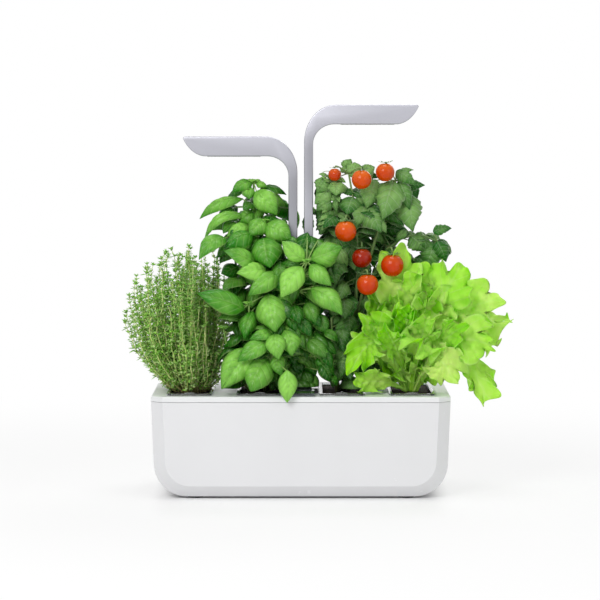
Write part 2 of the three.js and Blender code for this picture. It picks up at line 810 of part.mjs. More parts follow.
function makeChute() {
  const inner = chuteHalfWidth - chuteWall;
  const [y0, y1] = [chuteFront + chuteWall, chuteRear - chuteWall];
  const halfWall = chuteWall / 2;
  const bulk = joined([
    block(-chuteHalfWidth, chuteHalfWidth, chuteFront, chuteRear, chuteBottom, chuteTop),
    block(
      -chuteHalfWidth - chuteFlange, chuteHalfWidth + chuteFlange,
      chuteFront - chuteFlange, chuteRear + chuteFlange, deckTop + gap, chuteTop,
    ),
  ]);
  const floatFloor = chuteBottom + 2 * chuteWall;
  const cuts = [
    block(-inner, -halfWall, y0, y1, chuteBottom - overrun, chuteTop + overrun),
    block(halfWall, inner, y0, y1, floatFloor, chuteTop + overrun),
  ];
  const middle = (inner + halfWall) / 2;
  const drain = floatStemSize / 2;
  const centreY = (chuteFront + chuteRear) / 2;
  cuts.push(block(
    middle - drain, middle + drain, centreY - slotWidth, centreY + slotWidth,
    chuteBottom - overrun, floatFloor + overrun,
  ));
  for (const share of chuteSlotShares) {
    const y = centreY + share * (chuteRear - chuteFront);
    cuts.push(block(
      inner - overrun, chuteHalfWidth + overrun, y - slotWidth / 2, y + slotWidth / 2,
      floatFloor + chuteWall, floatFloor + chuteWall + slotHeight,
    ));
  }
  return cuts.reduce((rest, cut) => rest.subtract(cut), bulk);
}

function makeFlap() {
  const low = chuteTop + gap;
  const high = low + flapThickness;
  const edge = hingeY - flapReach;
  const inner = flapHalfWidth - earWidth - runningGap;
  const plateRear = hingeY - knuckleRadius - runningGap;
  return joined([
    block(-flapHalfWidth, flapHalfWidth, edge, plateRear, low, high),
    block(-inner, inner, plateRear - gap, hingeY, low, high),
    block(-flapHalfWidth, flapHalfWidth, edge, edge + flapThickness, low - flapLip, low + gap),
    rod("x", knuckleRadius, -inner, inner, [0, hingeY, hingeZ], 16),
  ]).subtract(
    rod("x", pinRadius + gap, -inner - overrun, inner + overrun, [0, hingeY, hingeZ], 12),
  );
}

function makeFloat() {
  const inner = chuteHalfWidth - chuteWall;
  const x0 = chuteWall / 2 + runningGap;
  const x1 = inner - runningGap;
  const [y0, y1] = [chuteFront + chuteWall + runningGap, chuteRear - chuteWall - runningGap];
  const low = chuteBottom + 2 * chuteWall + gap;
  const [cx, cy] = [(x0 + x1) / 2, (y0 + y1) / 2];
  const half = floatStemSize / 2;
  const stemTop = low + floatHeight + floatStemHeight;
  return block(x0, x1, y0, y1, low, low + floatHeight).add(
    block(cx - half, cx + half, cy - half, cy + half, low + floatHeight - gap, stemTop),
  );
}

place("refill_chute", makeChute(), "shell");
place("refill_flap", makeFlap(), "smoke");
const pinEnd = flapHalfWidth - gap;
place("flap_pin", rod("x", pinRadius, -pinEnd, pinEnd, [0, hingeY, hingeZ], 12), "steel");
place("level_float", makeFloat(), "float");

// Lamps: the left one is the right one turned over the centre line and set lower

function makePost(x) {
  const [halfX, halfY] = [postThickness / 2, postBreadth / 2];
  const [innerX, innerY] = [halfX - postWall, halfY - postWall];
  return block(x - halfX, x + halfX, postY - halfY, postY + halfY, postFoot, postTop).subtract(
    block(x - innerX, x + innerX, postY - innerY, postY + innerY, postFoot - overrun, postTop + overrun),
  );
}

function makePostCap(x) {
  const [plugX, plugY] = [postThickness / 2 - postWall - gap, postBreadth / 2 - postWall - gap];
  const crownX = armThickness / 2 - armWall - gap;
  const front = postY - armBreadth / 2 + armWall + gap;
  const rear = stripRear - stripThickness;
  const low = postTop + gap;
  return joined([
    block(x - plugX, x + plugX, postY - plugY, postY + plugY, postTop - capPlug, low + gap),
    block(x - crownX, x + crownX, front, rear, low, low + capCrown),
  ]);
}

function makeStrip(x) {
  const half = stripWidth / 2;
  const foot = consoleBottom + consoleWall + socketHeight + socketWall;
  return block(x - half, x + half, stripRear - stripThickness, stripRear, foot + gap, postTop - gap);
}

for (const [side, x] of postPlaces) {
  place(`post_${side}`, makePost(x), "post");
  place(`post_cap_${side}`, makePostCap(x), "housing");
  place(`contact_strip_${side}`, makeStrip(x), "brass");
}

// Side outline of an arm and its head in X and Z, from the mouth up, drawn in by an inset.
function armShape(inset, mouth) {
  const shape = new THREE.Shape();
  const back = armX - armThickness / 2 + inset;
  const face = armX + armThickness / 2 - inset;
  const roof = -inset;
  const sole = inset - headThickness;
  const noseX = headReach - inset;
  const bendSteps = 9;
  shape.moveTo(back, mouth);
  shape.lineTo(face, mouth);
  for (let k = 0; k <= bendSteps; k += 1) {
    const turn = (k / bendSteps) * (Math.PI / 2);
    const [rx, rz] = [innerBendX + inset, innerBendZ + inset];
    shape.lineTo(face + rx * (1 - Math.cos(turn)), sole - rz * (1 - Math.sin(turn)));
  }
  shape.lineTo(noseX - noseLength, sole);
  const tip = new THREE.Vector2(noseX, roof - noseTop);
  const pull = new THREE.Vector2(
    noseX - noseLength * nosePullXShare, sole + headThickness * nosePullZShare,
  );
  const curve = new THREE.QuadraticBezierCurve(new THREE.Vector2(noseX - noseLength, sole), pull, tip);
  curve.getPoints(5).slice(1).forEach((p) => shape.lineTo(p.x, p.y));
  shape.lineTo(noseX - noseTop, roof);
  for (let k = 0; k <= bendSteps; k += 1) {
    const turn = (k / bendSteps) * (Math.PI / 2);
    const [rx, rz] = [outerBendX - inset, outerBendZ - inset];
    shape.lineTo(back + rx * (1 - Math.sin(turn)), roof - rz * (1 - Math.cos(turn)));
  }
  return shape;
}

// The outline drawn out along Y, centred on the posts.
function armBulk(inset, mouth, breadth, edge) {
  const options = {
    depth: breadth - 2 * edge,
    bevelEnabled: edge > 0,
    bevelThickness: edge,
    bevelSize: edge,
    bevelOffset: -edge,
    bevelSegments: 2,
    curveSegments: 1,
  };
  const geometry = new THREE.ExtrudeGeometry(armShape(inset, mouth), options);
  geometry.rotateX(Math.PI / 2);
  geometry.translate(0, postY + breadth / 2 - edge, 0);
  return solid(geometry);
}

const soleTop = armWall - headThickness; // inner face of the head's underside

function makeArm() {
  const cavityBreadth = armBreadth - 2 * armWall;
  const halfWindow = windowBreadth / 2;
  const windowEnd = windowStart + windowLength;
  let arm = armBulk(0, -mouthBelowTop, armBreadth, armEdge);
  arm = arm.subtract(armBulk(armWall, -mouthBelowTop - overrun, cavityBreadth, 0));
  arm = arm.subtract(block(
    windowStart, windowEnd, postY - halfWindow, postY + halfWindow, -headThickness - overrun, soleTop + gap,
  ));
  const hangerFoot = soleTop + ledBoardLift + boardThickness + gap;
  for (const share of hangerShares) {
    const x = windowStart + windowLength * share;
    const half = hangerThickness / 2;
    arm = arm.add(block(
      x - half, x + half, postY - halfWindow, postY + halfWindow, hangerFoot, -armWall / 2,
    ));
  }
  return arm;
}

function makeLens() {
  const halfLedge = windowBreadth / 2 + lensLedge;
  const halfPane = windowBreadth / 2 - gap;
  const ledgeLow = soleTop + gap;
  const end = windowStart + windowLength;
  return block(
    windowStart - lensLedge, end + lensLedge, postY - halfLedge, postY + halfLedge,
    ledgeLow, ledgeLow + lensThickness,
  ).add(block(
    windowStart + gap, end - gap, postY - halfPane, postY + halfPane,
    -headThickness - lensProud, ledgeLow + lensThickness / 2,
  ));
}

function makeLedBoard() {
  const z = soleTop + ledBoardLift;
  const half = windowBreadth / 2 - gap;
  const end = windowStart + windowLength;
  const parts = [block(windowStart, end, postY - half, postY + half, z, z + boardThickness)];
  for (let c = 0; c < ledColumns; c += 1) {
    for (let r = 0; r < ledRows; r += 1) {
      const x = windowStart + (windowLength * (c + 1 / 2)) / ledColumns;
      const y = postY - half + (2 * half * (r + 1 / 2)) / ledRows;
      const h = ledSize / 2;
      parts.push(block(x - h, x + h, y - h, y + h, z - ledHeight, z + boardThickness / 2));
    }
  }
  return joined(parts);
}

// Lead inside the arm, from the brush on the contact strip to the LED board.
function makeLampLead() {
  const y = (stripRear + gap + postY + armBreadth / 2 - armWall - gap) / 2;
  const brushLow = brushLift - mouthBelowTop;
  const brushTop = brushLow + brushHeight;
  const half = stripWidth / 2;
  const brush = block(
    armX - half, armX + half, stripRear + gap, postY + armBreadth / 2 - armWall - gap, brushLow, brushTop,
  );
  const boardTop = soleTop + ledBoardLift + boardThickness;
  const crown = boardTop + leadRadius + gap;
  const boardEdge = postY + windowBreadth / 2 - 2 * leadRadius;
  const bendFoot = -headThickness - innerBendZ;
  const path = new THREE.CatmullRomCurve3([
    new THREE.Vector3(armX, y, brushTop - gap),
    new THREE.Vector3(armX, y, (brushTop + bendFoot) / 2),
    new THREE.Vector3(armX, y, bendFoot),
    new THREE.Vector3(armX + innerBendX / 3, y, bendFoot + innerBendZ),
    new THREE.Vector3(armX + innerBendX, y, crown),
    new THREE.Vector3(windowStart + leadRadius, boardEdge, crown),
    new THREE.Vector3(windowStart + windowLength / 8, boardEdge, crown),
  ]);
  const points = path.getPoints(18);
  return brush.add(stalk(points, points.map(() => leadRadius), 6));
}

function makeCollar() {
  const top = -mouthBelowTop - gap;
  const [halfX, halfY] = [armThickness / 2 - gap, armBreadth / 2 - gap];
  const slot = postThickness / 2 + gap;
  const tongueX = armThickness / 2 - armWall - gap;
  const front = postY - armBreadth / 2 + armWall + gap;
  return block(armX - halfX, armX + halfX, postY - halfY, postY + halfY, top - collarHeight, top)
    .subtract(block(
      armX - slot, armX + slot, postY - postBreadth / 2 - gap, stripRear + gap,
      top - collarHeight - overrun, top + overrun,
    ))
    .add(block(
      armX - tongueX, armX + tongueX, front, front + collarTongueBreadth, top - gap, top + collarTongue,
    ));
}

for (const [side, mirror, top] of [["left", -1, lampTopLeft], ["right", 1, lampTop]]) {
  const lamp = new THREE.Group();
  lamp.position.z = top;
  lamp.scale.x = mirror;
  garden.add(lamp);
  place(`lamp_arm_${side}`, makeArm(), "arm", lamp);
  place(`lamp_lens_${side}`, makeLens(), "lens", lamp);
  place(`led_board_${side}`, makeLedBoard(), "board", lamp);
  place(`lamp_lead_${side}`, makeLampLead(), "lead", lamp);
  place(`sleeve_collar_${side}`, makeCollar(), "housing", lamp);
}

// Plants

const upright = new THREE.Vector3(0, 0, 1);
const golden = Math.PI * (3 - Math.sqrt(5));
const soilFace = soilTop + gap;

// Repeatable values from 0 to 1.
function scatter(seed) {
  const value = Math.sin(seed * 127.1 + 311.7) * 43758.5453;
  return value - Math.floor(value);
}

function between(low, high, share) {
  return low + (high - low) * share;
}

// True where foliage clears the deck, the lamps' travel, the posts and the flap's swing.
function clearOfGarden(p) {
  const overDeck = Math.abs(p.x) < tankWidth / 2 + leafGap && Math.abs(p.y) < tankDepth / 2 + leafGap;
  if (p.z < (overDeck ? coverTop + leafGap : hangLimit)) return false;
  const besidePosts = Math.abs(p.x) < armX + armThickness / 2 + leafGap;
  if (besidePosts && Math.abs(p.y - postY) < armBreadth / 2 + leafGap) return false;
  const overFlap = overDeck && Math.abs(p.x) < flapHalfWidth + leafGap && p.y < hingeY + flapReach / 4;
  if (overFlap && p.z < hingeZ + flapReach + leafGap) return false;
  const lampSole = (p.x < 0 ? lampTopLeft : lampTop) - headThickness - lampLowering;
  const underBend = Math.abs(p.x) < armX + armThickness / 2 + innerBendX;
  return p.z < lampSole - leafGap - (underBend ? innerBendZ / 2 : 0);
}

// Borders between neighbours lean in plan, so that a plant's front leaves reach over the next one.
const potGapMiddle = (potPitchInner + potPitchOuter) / 2;
const thymeTop = soilFace + thymeHeight + leafGap;

function thymeBorder(p) {
  return -potGapMiddle + thymeBorderShare * (p.y - potCentreY);
}

function basilBorder(p) {
  return Math.max(0, potCentreY - p.y);
}

function lettuceBorder(p) {
  return potGapMiddle + lettuceBorderShare * (p.y - potCentreY);
}

function lettuceTop(y) {
  return soilFace + lettuceHeight * (y > potCentreY ? lettuceRearShare : 1);
}

const territory = {
  thyme: (p) => p.x < thymeBorder(p) - leafGap && p.z < thymeTop,
  basil: (p) => p.x < basilBorder(p) - leafGap
    && (p.z > thymeTop + leafGap || p.x > thymeBorder(p) + leafGap),
  tomato: (p) => p.x > basilBorder(p) + leafGap
    && (p.z > lettuceTop(p.y - leafGap) + leafGap || p.x < lettuceBorder(p) - leafGap),
  lettuce: (p) => p.x > lettuceBorder(p) + leafGap && p.z < lettuceTop(p.y),
};

// Rings of a leaf blade: both edges and the keel at each station of its profile, which lists how
// far each station is from base to tip and how wide the blade is there.
function bladeRings({ base, knee, tip, width, face, profile, ruffle = 0 }) {
  const chord = new THREE.Vector3().subVectors(tip, base);
  const towards = new THREE.Vector3(0, -face, 1 - Math.abs(face));
  const side = new THREE.Vector3().crossVectors(chord, towards).normalize();
  const curve = new THREE.QuadraticBezierCurve3(base, knee, tip);
  return profile.map(([at, share], i) => {
    const centre = curve.getPoint(at);
    const normal = new THREE.Vector3().crossVectors(side, curve.getTangent(at)).normalize();
    const half = Math.max((share * width) / 2, petioleRadius);
    const wave = ruffle * half * Math.cos(i * Math.PI);
    return [
      centre.clone().addScaledVector(side, half).addScaledVector(normal, bladeThickness / 2 + wave),
      centre.clone().addScaledVector(side, -half).addScaledVector(normal, bladeThickness / 2 - wave),
      centre.clone().addScaledVector(normal, -bladeThickness),
    ];
  });
}

// The blade as a solid, made shorter until it is free, or nothing where it can't be.
function growBlade(leaf, free) {
  for (const share of shorterShares) {
    const shorter = {
      ...leaf,
      width: leaf.width * share,
      knee: leaf.base.clone().lerp(leaf.knee, share),
      tip: leaf.base.clone().lerp(leaf.tip, share),
    };
    const rings = bladeRings(shorter);
    const points = [...rings.flat(), shorter.tip];
    if (points.every((p) => free(p) && clearOfGarden(p))) return skin(rings, leaf.base, shorter.tip);
  }
  return null;
}

// A place on a plant, from shares of its height: to the right, to the rear and up.
function onPlant(plant, [right, rear, up]) {
  return new THREE.Vector3(
    plant.x + right * plant.height,
    potCentreY + rear * plant.height,
    soilFace + up * plant.height,
  );
}

// The middle of the arch of a leaf, raised off its chord towards its upper face.
function kneeOf(base, tip, face, arch) {
  const chord = new THREE.Vector3().subVectors(tip, base);
  const towards = new THREE.Vector3(0, -face, 1 - Math.abs(face));
  const side = new THREE.Vector3().crossVectors(chord, towards);
  const normal = new THREE.Vector3().crossVectors(side, chord).normalize();
  return base.clone().lerp(tip, 1 / 2).addScaledVector(normal, 2 * arch * chord.length());
}

// The point of the stems that a leaf at this place would grow from.
function nearestOn(stems, place3d) {
  const cost = (p) => p.distanceTo(place3d) + Math.max(p.z - place3d.z, 0);
  const above = stems.flat().filter((p) => p.z > soilFace + crownHeight);
  return above.reduce((best, p) => (cost(p) < cost(best) ? p : best));
}

// A stem from the soil through a bend to its top, as a list of points.
function stemLine(plant, [foot, bend, top], count) {
  const curve = new THREE.QuadraticBezierCurve3(
    onPlant(plant, foot).addScaledVector(upright, crownHeight / 2),
    onPlant(plant, bend),
    onPlant(plant, top),
  );
  return curve.getPoints(count);
}

function taperedStem(points, radius) {
  const radii = points.map((unused, i) => radius * between(1, stemTipShare, i / (points.length - 1)));
  return stalk(points, radii, 5);
}

function crownOf(plant, spreadX, spreadY, rise = crownHeight) {
  const ring = (z, share) => roundRing(
    plant.x, potCentreY, z, spreadX * share, spreadY * share, spreadX * share * crownCornerShare,
  );
  return loft([ring(soilFace, 1), ring(soilFace + rise, crownTopShare)]);
}

// Leaves with their stalks, from rows of base, tip, width, face and arch.
function leavesOf(plant, stems, rows, profile, free) {
  const parts = [];
  for (const [baseShares, tipShares, widthShare, face, arch] of rows) {
    const base = onPlant(plant, baseShares);
    const tip = onPlant(plant, tipShares);
    const knee = kneeOf(base, tip, face, arch);
    const leaf = { base, knee, tip, width: widthShare * plant.height, face, profile };
    const blade = growBlade(leaf, free);
    if (blade) {
      const end = base.clone().lerp(knee, stalkEndShare);
      const root = nearestOn(stems, base);
      parts.push(blade);
      if (root.distanceTo(end) > petioleRadius) {
        parts.push(stalk([root, end], [petioleRadius, petioleRadius], 3));
      }
    }
  }
  return parts;
}

// Leaves that fill a plant out behind, in pairs up each stem. Turns are in radians from straight
// back, and lengths are shares of a leaf's reach.
const backStartShare = 0.35;
const backTurns = [0.35, 1.2];
const backReachShares = [0.8, 1.1];
const backDropShares = [-0.1, 0.55];
const backStalkShare = 0.2;
const backFormShares = [-0.4, 0.16]; // face and arch

function backLeaves(plant, stems, [lengthShare, widthShare], pairs) {
  const rows = [];
  const [face, arch] = backFormShares;
  stems.forEach((points, s) => {
    for (let n = 0; n < pairs; n += 1) {
      const start = points.length * backStartShare;
      const at = Math.round(between(start, points.length - 1, (n + 1) / pairs));
      const from = points[at];
      for (const hand of [-1, 1]) {
        const turn = Math.PI / 2 + hand * between(...backTurns, scatter(s * 7 + n + hand));
        const reach = lengthShare * between(...backReachShares, scatter(s * 5 + n * 3 + hand));
        const drop = reach * between(...backDropShares, scatter(s * 11 + n + hand));
        const stalkReach = reach * backStalkShare;
        const base = [
          (from.x - plant.x) / plant.height + stalkReach * Math.cos(turn),
          (from.y - potCentreY) / plant.height + stalkReach * Math.sin(turn),
          (from.z - soilFace) / plant.height,
        ];
        const tip = [
          base[0] + reach * Math.cos(turn),
          base[1] + reach * Math.sin(turn),
          base[2] - drop,
        ];
        rows.push([base, tip, widthShare, face, arch]);
      }
    }
  });
  return rows;
}

// Basil

const basil = { x: -potPitchInner, height: basilHeight };
const basilStemShares = [
  [[-0.02, 0.03, 0], [-0.04, 0.03, 0.5], [-0.03, 0, 0.985]],
  [[0.03, -0.02, 0], [0.13, -0.12, 0.35], [0.22, -0.22, 0.62]],
  [[0.02, -0.04, 0], [0.06, -0.12, 0.15], [0.075, -0.24, 0.31]],
  [[-0.04, 0.02, 0], [-0.09, 0.06, 0.4], [-0.13, -0.03, 0.72]],
  [[0.02, 0.02, 0], [0.03, 0, 0.4], [0.03, -0.07, 0.8]],
  [[-0.03, -0.03, 0], [-0.05, -0.08, 0.2], [-0.05, -0.19, 0.42]],
];

// Rows: base, tip, width, face (1 faces the front, 0 faces up) and arch.
const basilLeafShares = [
  [[-0.035, 0, 0.985], [-0.13, -0.04, 0.94], 0.07, 0.35, 0.2],
  [[-0.02, 0, 0.985], [0.075, -0.03, 0.945], 0.07, 0.35, 0.2],
  [[-0.05, -0.02, 0.965], [-0.05, -0.06, 0.91], 0.06, 0.8, 0.1],
  [[-0.02, -0.02, 0.945], [0.08, -0.08, 0.835], 0.11, 0.6, 0.18],
  [[-0.08, 0, 0.92], [-0.285, -0.02, 0.825], 0.1, 0.3, 0.16],
  [[0, 0.04, 0.93], [0.12, 0.05, 0.87], 0.09, 0.4, 0.15],
  [[-0.1, 0, 0.8], [-0.255, -0.03, 0.725], 0.1, 0.35, 0.24],
  [[0.02, -0.07, 0.815], [-0.05, -0.13, 0.74], 0.09, 0.7, 0.15],
  [[-0.03, -0.02, 0.85], [-0.1, -0.02, 0.79], 0.09, 0.5, 0.15],
  [[-0.05, -0.05, 0.78], [-0.155, -0.1, 0.735], 0.09, 0.4, 0.2],
  [[0.025, -0.08, 0.79], [0.15, -0.12, 0.72], 0.12, 0.6, 0.14],
  [[-0.16, -0.15, 0.73], [-0.28, -0.26, 0.635], 0.1, 0.5, 0.2],
  [[-0.03, -0.1, 0.745], [-0.165, -0.18, 0.685], 0.11, 0.5, 0.16],
  [[-0.02, -0.16, 0.61], [-0.165, -0.23, 0.675], 0.1, 0.6, 0.12],
  [[0.02, -0.14, 0.73], [0.05, -0.22, 0.595], 0.145, 0.85, 0.12],
  [[0.03, -0.17, 0.58], [-0.105, -0.24, 0.57], 0.1, 0.6, 0.14],
  [[0.21, -0.22, 0.63], [0.105, -0.25, 0.72], 0.08, 0.8, 0.08],
  [[0.24, -0.23, 0.635], [0.385, -0.27, 0.695], 0.11, 0.75, 0.1],
  [[0.235, -0.23, 0.61], [0.335, -0.29, 0.515], 0.085, 0.7, 0.16],
  [[0.2, -0.23, 0.6], [0.1, -0.3, 0.462], 0.11, 0.8, 0.14],
  [[0.24, -0.24, 0.5], [0.385, -0.3, 0.38], 0.1, 0.6, 0.18],
  [[-0.07, -0.22, 0.4], [-0.285, -0.29, 0.48], 0.11, 0.65, 0.14],
  [[0.09, -0.18, 0.565], [-0.05, -0.25, 0.466], 0.1, 0.6, 0.16],
  [[0.04, -0.2, 0.475], [0.073, -0.29, 0.3], 0.15, 0.85, 0.12],
  [[-0.03, -0.19, 0.39], [-0.068, -0.25, 0.265], 0.08, 0.7, 0.1],
  [[0.06, -0.24, 0.29], [-0.045, -0.29, 0.265], 0.07, 0.5, 0.16],
  [[0.04, -0.26, 0.26], [-0.1, -0.32, 0.165], 0.09, 0.6, 0.16],
  [[0.075, -0.26, 0.29], [0.09, -0.33, 0.175], 0.09, 0.8, 0.2],
  [[0.115, -0.24, 0.305], [0.165, -0.31, 0.142], 0.13, 0.8, 0.14],
  [[0.1, -0.2, 0.315], [0.205, -0.2, 0.335], 0.07, 0.5, 0.1],
  [[-0.045, -0.22, 0.22], [-0.175, -0.29, 0.035], 0.13, 0.8, 0.12],
  [[0.035, -0.24, 0.17], [-0.04, -0.31, 0.022], 0.14, 0.85, 0.1],
  [[0.09, -0.24, 0.19], [0.108, -0.31, 0.03], 0.12, 0.85, 0.1],
  [[0.12, -0.33, 0.12], [0.14, -0.37, -0.055], 0.09, 0.8, 0.1],
  [[0.22, -0.17, 0.24], [0.32, -0.24, 0.2], 0.06, 0.5, 0.12],
];
const basilProfileShares = [[0.2, 0.78], [0.5, 1], [0.8, 0.62]];

function makeBasil() {
  const stems = basilStemShares.map((shares) => stemLine(basil, shares, 7));
  const back = backLeaves(basil, stems, basilBackShares, 1);
  return joined([
    crownOf(basil, stemSpread, stemSpread),
    ...stems.map((points) => taperedStem(points, basilStemRadius)),
    ...leavesOf(basil, stems, basilLeafShares, basilProfileShares, territory.basil),
    ...leavesOf(basil, stems, back, basilProfileShares, territory.basil),
  ]);
}

// Thyme

const thyme = { x: -potPitchOuter, height: thymeHeight };

function makeThyme() {
  const parts = [crownOf(thyme, thymeSpreadX, thymeSpreadY)];
  const free = (p) => territory.thyme(p) && clearOfGarden(p);
  for (let s = 0; s < thymeSprigs; s += 1) {
    const out = Math.sqrt((s + 1 / 2) / thymeSprigs);
    const turn = s * golden;
    const lean = out * thymeLean;
    const long = between(...thymeLongShares, out) * between(...thymeLongScatterShares, scatter(s));
    const foot = [
      (out * Math.cos(turn) * (thymeSpreadX - thymeSprigRadius)) / thymeHeight,
      (out * Math.sin(turn) * (thymeSpreadY - thymeSprigRadius)) / thymeHeight,
      0,
    ];
    const top = [
      foot[0] + long * Math.sin(lean) * Math.cos(turn) * thymeReachXShare,
      foot[1] + long * Math.sin(lean) * Math.sin(turn) * thymeReachYShare,
      long * Math.cos(lean * thymeRiseShare),
    ];
    const bend = [foot[0] * 2, foot[1] * 2, top[2] / 2];
    const points = stemLine(thyme, [foot, bend, top], 7);
    const radii = points.map((unused, i) => (
      thymeSprigRadius * (i < 2 ? thymeBareShare : between(...thymeLeafyShares, i % 2))
    ));
    const reached = points.findIndex((p, i) => i > 1 && !free(p));
    const count = reached < 0 ? points.length : reached;
    if (count > 3) parts.push(stalk(points.slice(0, count), radii.slice(0, count), 4));
  }
  return joined(parts);
}

// Tomato

const tomato = { x: potPitchInner, height: tomatoHeight };
const tomatoStemShares = [
  [[0, 0, 0], [0.12, 0, 0.5], [0.03, -0.03, 0.93]],
  [[0.02, 0.03, 0], [0.1, 0.02, 0.6], [0.23, -0.05, 0.9]],
  [[-0.02, 0.02, 0], [0.02, 0.02, 0.55], [-0.07, 0, 0.89]],
  [[0.03, 0, 0], [0.12, 0.05, 0.8], [0.41, 0.02, 0.64]],
  [[-0.02, -0.03, 0], [-0.03, -0.12, 0.2], [-0.04, -0.16, 0.12]],
];

const tomatoLeafShares = [
  [[-0.073, -0.06, 0.91], [-0.1, -0.08, 0.856], 0.06, 0.6, 0.1],
  [[-0.019, -0.05, 0.896], [-0.024, -0.08, 0.847], 0.06, 0.8, 0.1],
  [[-0.045, -0.05, 0.8], [-0.113, -0.1, 0.835], 0.06, 0.6, 0.1],
  [[-0.045, -0.05, 0.79], [-0.104, -0.09, 0.787], 0.05, 0.5, 0.1],
  [[0.046, -0.04, 0.83], [0.024, -0.09, 0.77], 0.08, 0.8, 0.1],
  [[0.02, -0.02, 0.938], [0.08, -0.02, 0.955], 0.05, 0.6, 0.15],
  [[0.016, 0, 0.95], [0.037, 0.01, 0.985], 0.04, 0.7, 0.1],
  [[0.093, 0, 0.94], [0.135, 0.02, 0.955], 0.06, 0.6, 0.1],
  [[0.145, -0.02, 0.905], [0.112, -0.06, 0.802], 0.075, 0.8, 0.1],
  [[0.22, -0.05, 0.9], [0.178, -0.1, 0.761], 0.09, 0.75, 0.14],
  [[0.244, -0.04, 0.9], [0.282, -0.05, 0.796], 0.05, 0.7, 0.16],
  [[0.28, -0.01, 0.84], [0.301, -0.04, 0.707], 0.085, 0.75, 0.14],
  [[0.108, -0.05, 0.785], [0.158, -0.12, 0.7], 0.08, 0.75, 0.12],
  [[0.098, -0.05, 0.79], [0.067, -0.1, 0.723], 0.06, 0.75, 0.12],
  [[0.14, -0.11, 0.715], [0.075, -0.18, 0.65], 0.1, 0.8, 0.14],
  [[0.282, -0.06, 0.706], [0.195, -0.13, 0.652], 0.09, 0.7, 0.14],
  [[0.3, 0.03, 0.66], [0.385, 0.04, 0.567], 0.11, 0.7, 0.14],
  [[0.41, 0.02, 0.64], [0.467, 0.03, 0.51], 0.09, 0.7, 0.14],
  [[0.4, 0.03, 0.63], [0.368, 0.04, 0.53], 0.07, 0.7, 0.12],
  [[-0.03, -0.06, 0.66], [-0.12, -0.13, 0.63], 0.09, 0.5, 0.12],
  [[-0.027, -0.04, 0.75], [-0.079, -0.08, 0.7], 0.07, 0.6, 0.12],
  [[-0.02, -0.07, 0.375], [-0.09, -0.13, 0.31], 0.09, 0.7, 0.14],
  [[0.007, -0.06, 0.26], [-0.066, -0.12, 0.216], 0.075, 0.6, 0.14],
  [[0.059, -0.05, 0.31], [-0.014, -0.12, 0.28], 0.065, 0.6, 0.14],
  [[-0.04, -0.16, 0.095], [-0.055, -0.2, 0.04], 0.07, 0.85, 0.1],
  [[-0.01, -0.13, 0.12], [-0.005, -0.2, 0.055], 0.085, 0.8, 0.12],
  [[0.2, -0.05, 0.42], [0.15, -0.12, 0.366], 0.08, 0.7, 0.14],
  [[0.02, -0.07, 0.6], [-0.057, -0.12, 0.551], 0.1, 0.7, 0.14],
  [[0, -0.08, 0.56], [-0.04, -0.13, 0.49], 0.08, 0.8, 0.1],
];
const tomatoProfileShares = [[0.2, 0.85], [0.5, 1], [0.8, 0.6]];

// Fruits: place, then size and rise of the stalk as shares of the common radius.
const fruitShares = [
  [[-0.03, -0.07, 0.927], 0.65, 1.6],
  [[0.083, -0.12, 0.908], 1, 1.6],
  [[0.183, -0.1, 0.938], 0.95, 1.6],
  [[0.015, -0.15, 0.69], 1.08, 1.6],
  [[0.085, -0.12, 0.575], 1, 1.6],
  [[0.213, -0.14, 0.545], 1.15, 1.6],
  [[0.107, -0.2, 0.4675], 1.08, 1],
];

function awayFromFruits(p) {
  return fruitShares.every(([place3d, size]) => (
    p.distanceTo(onPlant(tomato, place3d)) > fruitRadius * size + leafGap
  ));
}

function makeTomato() {
  const stems = tomatoStemShares.map((shares) => stemLine(tomato, shares, 8));
  const free = (p) => territory.tomato(p) && awayFromFruits(p);
  const back = backLeaves(tomato, stems.slice(0, 4), tomatoBackShares, 2);
  const stalks = fruitShares.map(([place3d, size, rise]) => {
    const above = fruitRadius * size + gap + fruitStalkRadius / 2;
    const cap = onPlant(tomato, place3d).addScaledVector(upright, above);
    const root = nearestOn(stems, cap);
    const knee = cap.clone().addScaledVector(upright, fruitRadius * rise);
    const points = new THREE.QuadraticBezierCurve3(root, knee, cap).getPoints(4);
    return stalk(points, points.map(() => fruitStalkRadius), 4);
  });
  return joined([
    crownOf(tomato, stemSpread, stemSpread),
    ...stems.map((points) => taperedStem(points, tomatoStemRadius)),
    ...leavesOf(tomato, stems, tomatoLeafShares, tomatoProfileShares, free),
    ...leavesOf(tomato, stems, back, tomatoProfileShares, free),
    ...stalks,
  ]);
}

function makeFruit([place3d, size]) {
  const geometry = new THREE.SphereGeometry(fruitRadius * size, 12, 8);
  geometry.rotateX(Math.PI / 2);
  const centre = onPlant(tomato, place3d);
  geometry.translate(centre.x, centre.y, centre.z);
  return solid(geometry);
}

// Lettuce

const lettuce = { x: potPitchOuter, height: lettuceHeight };

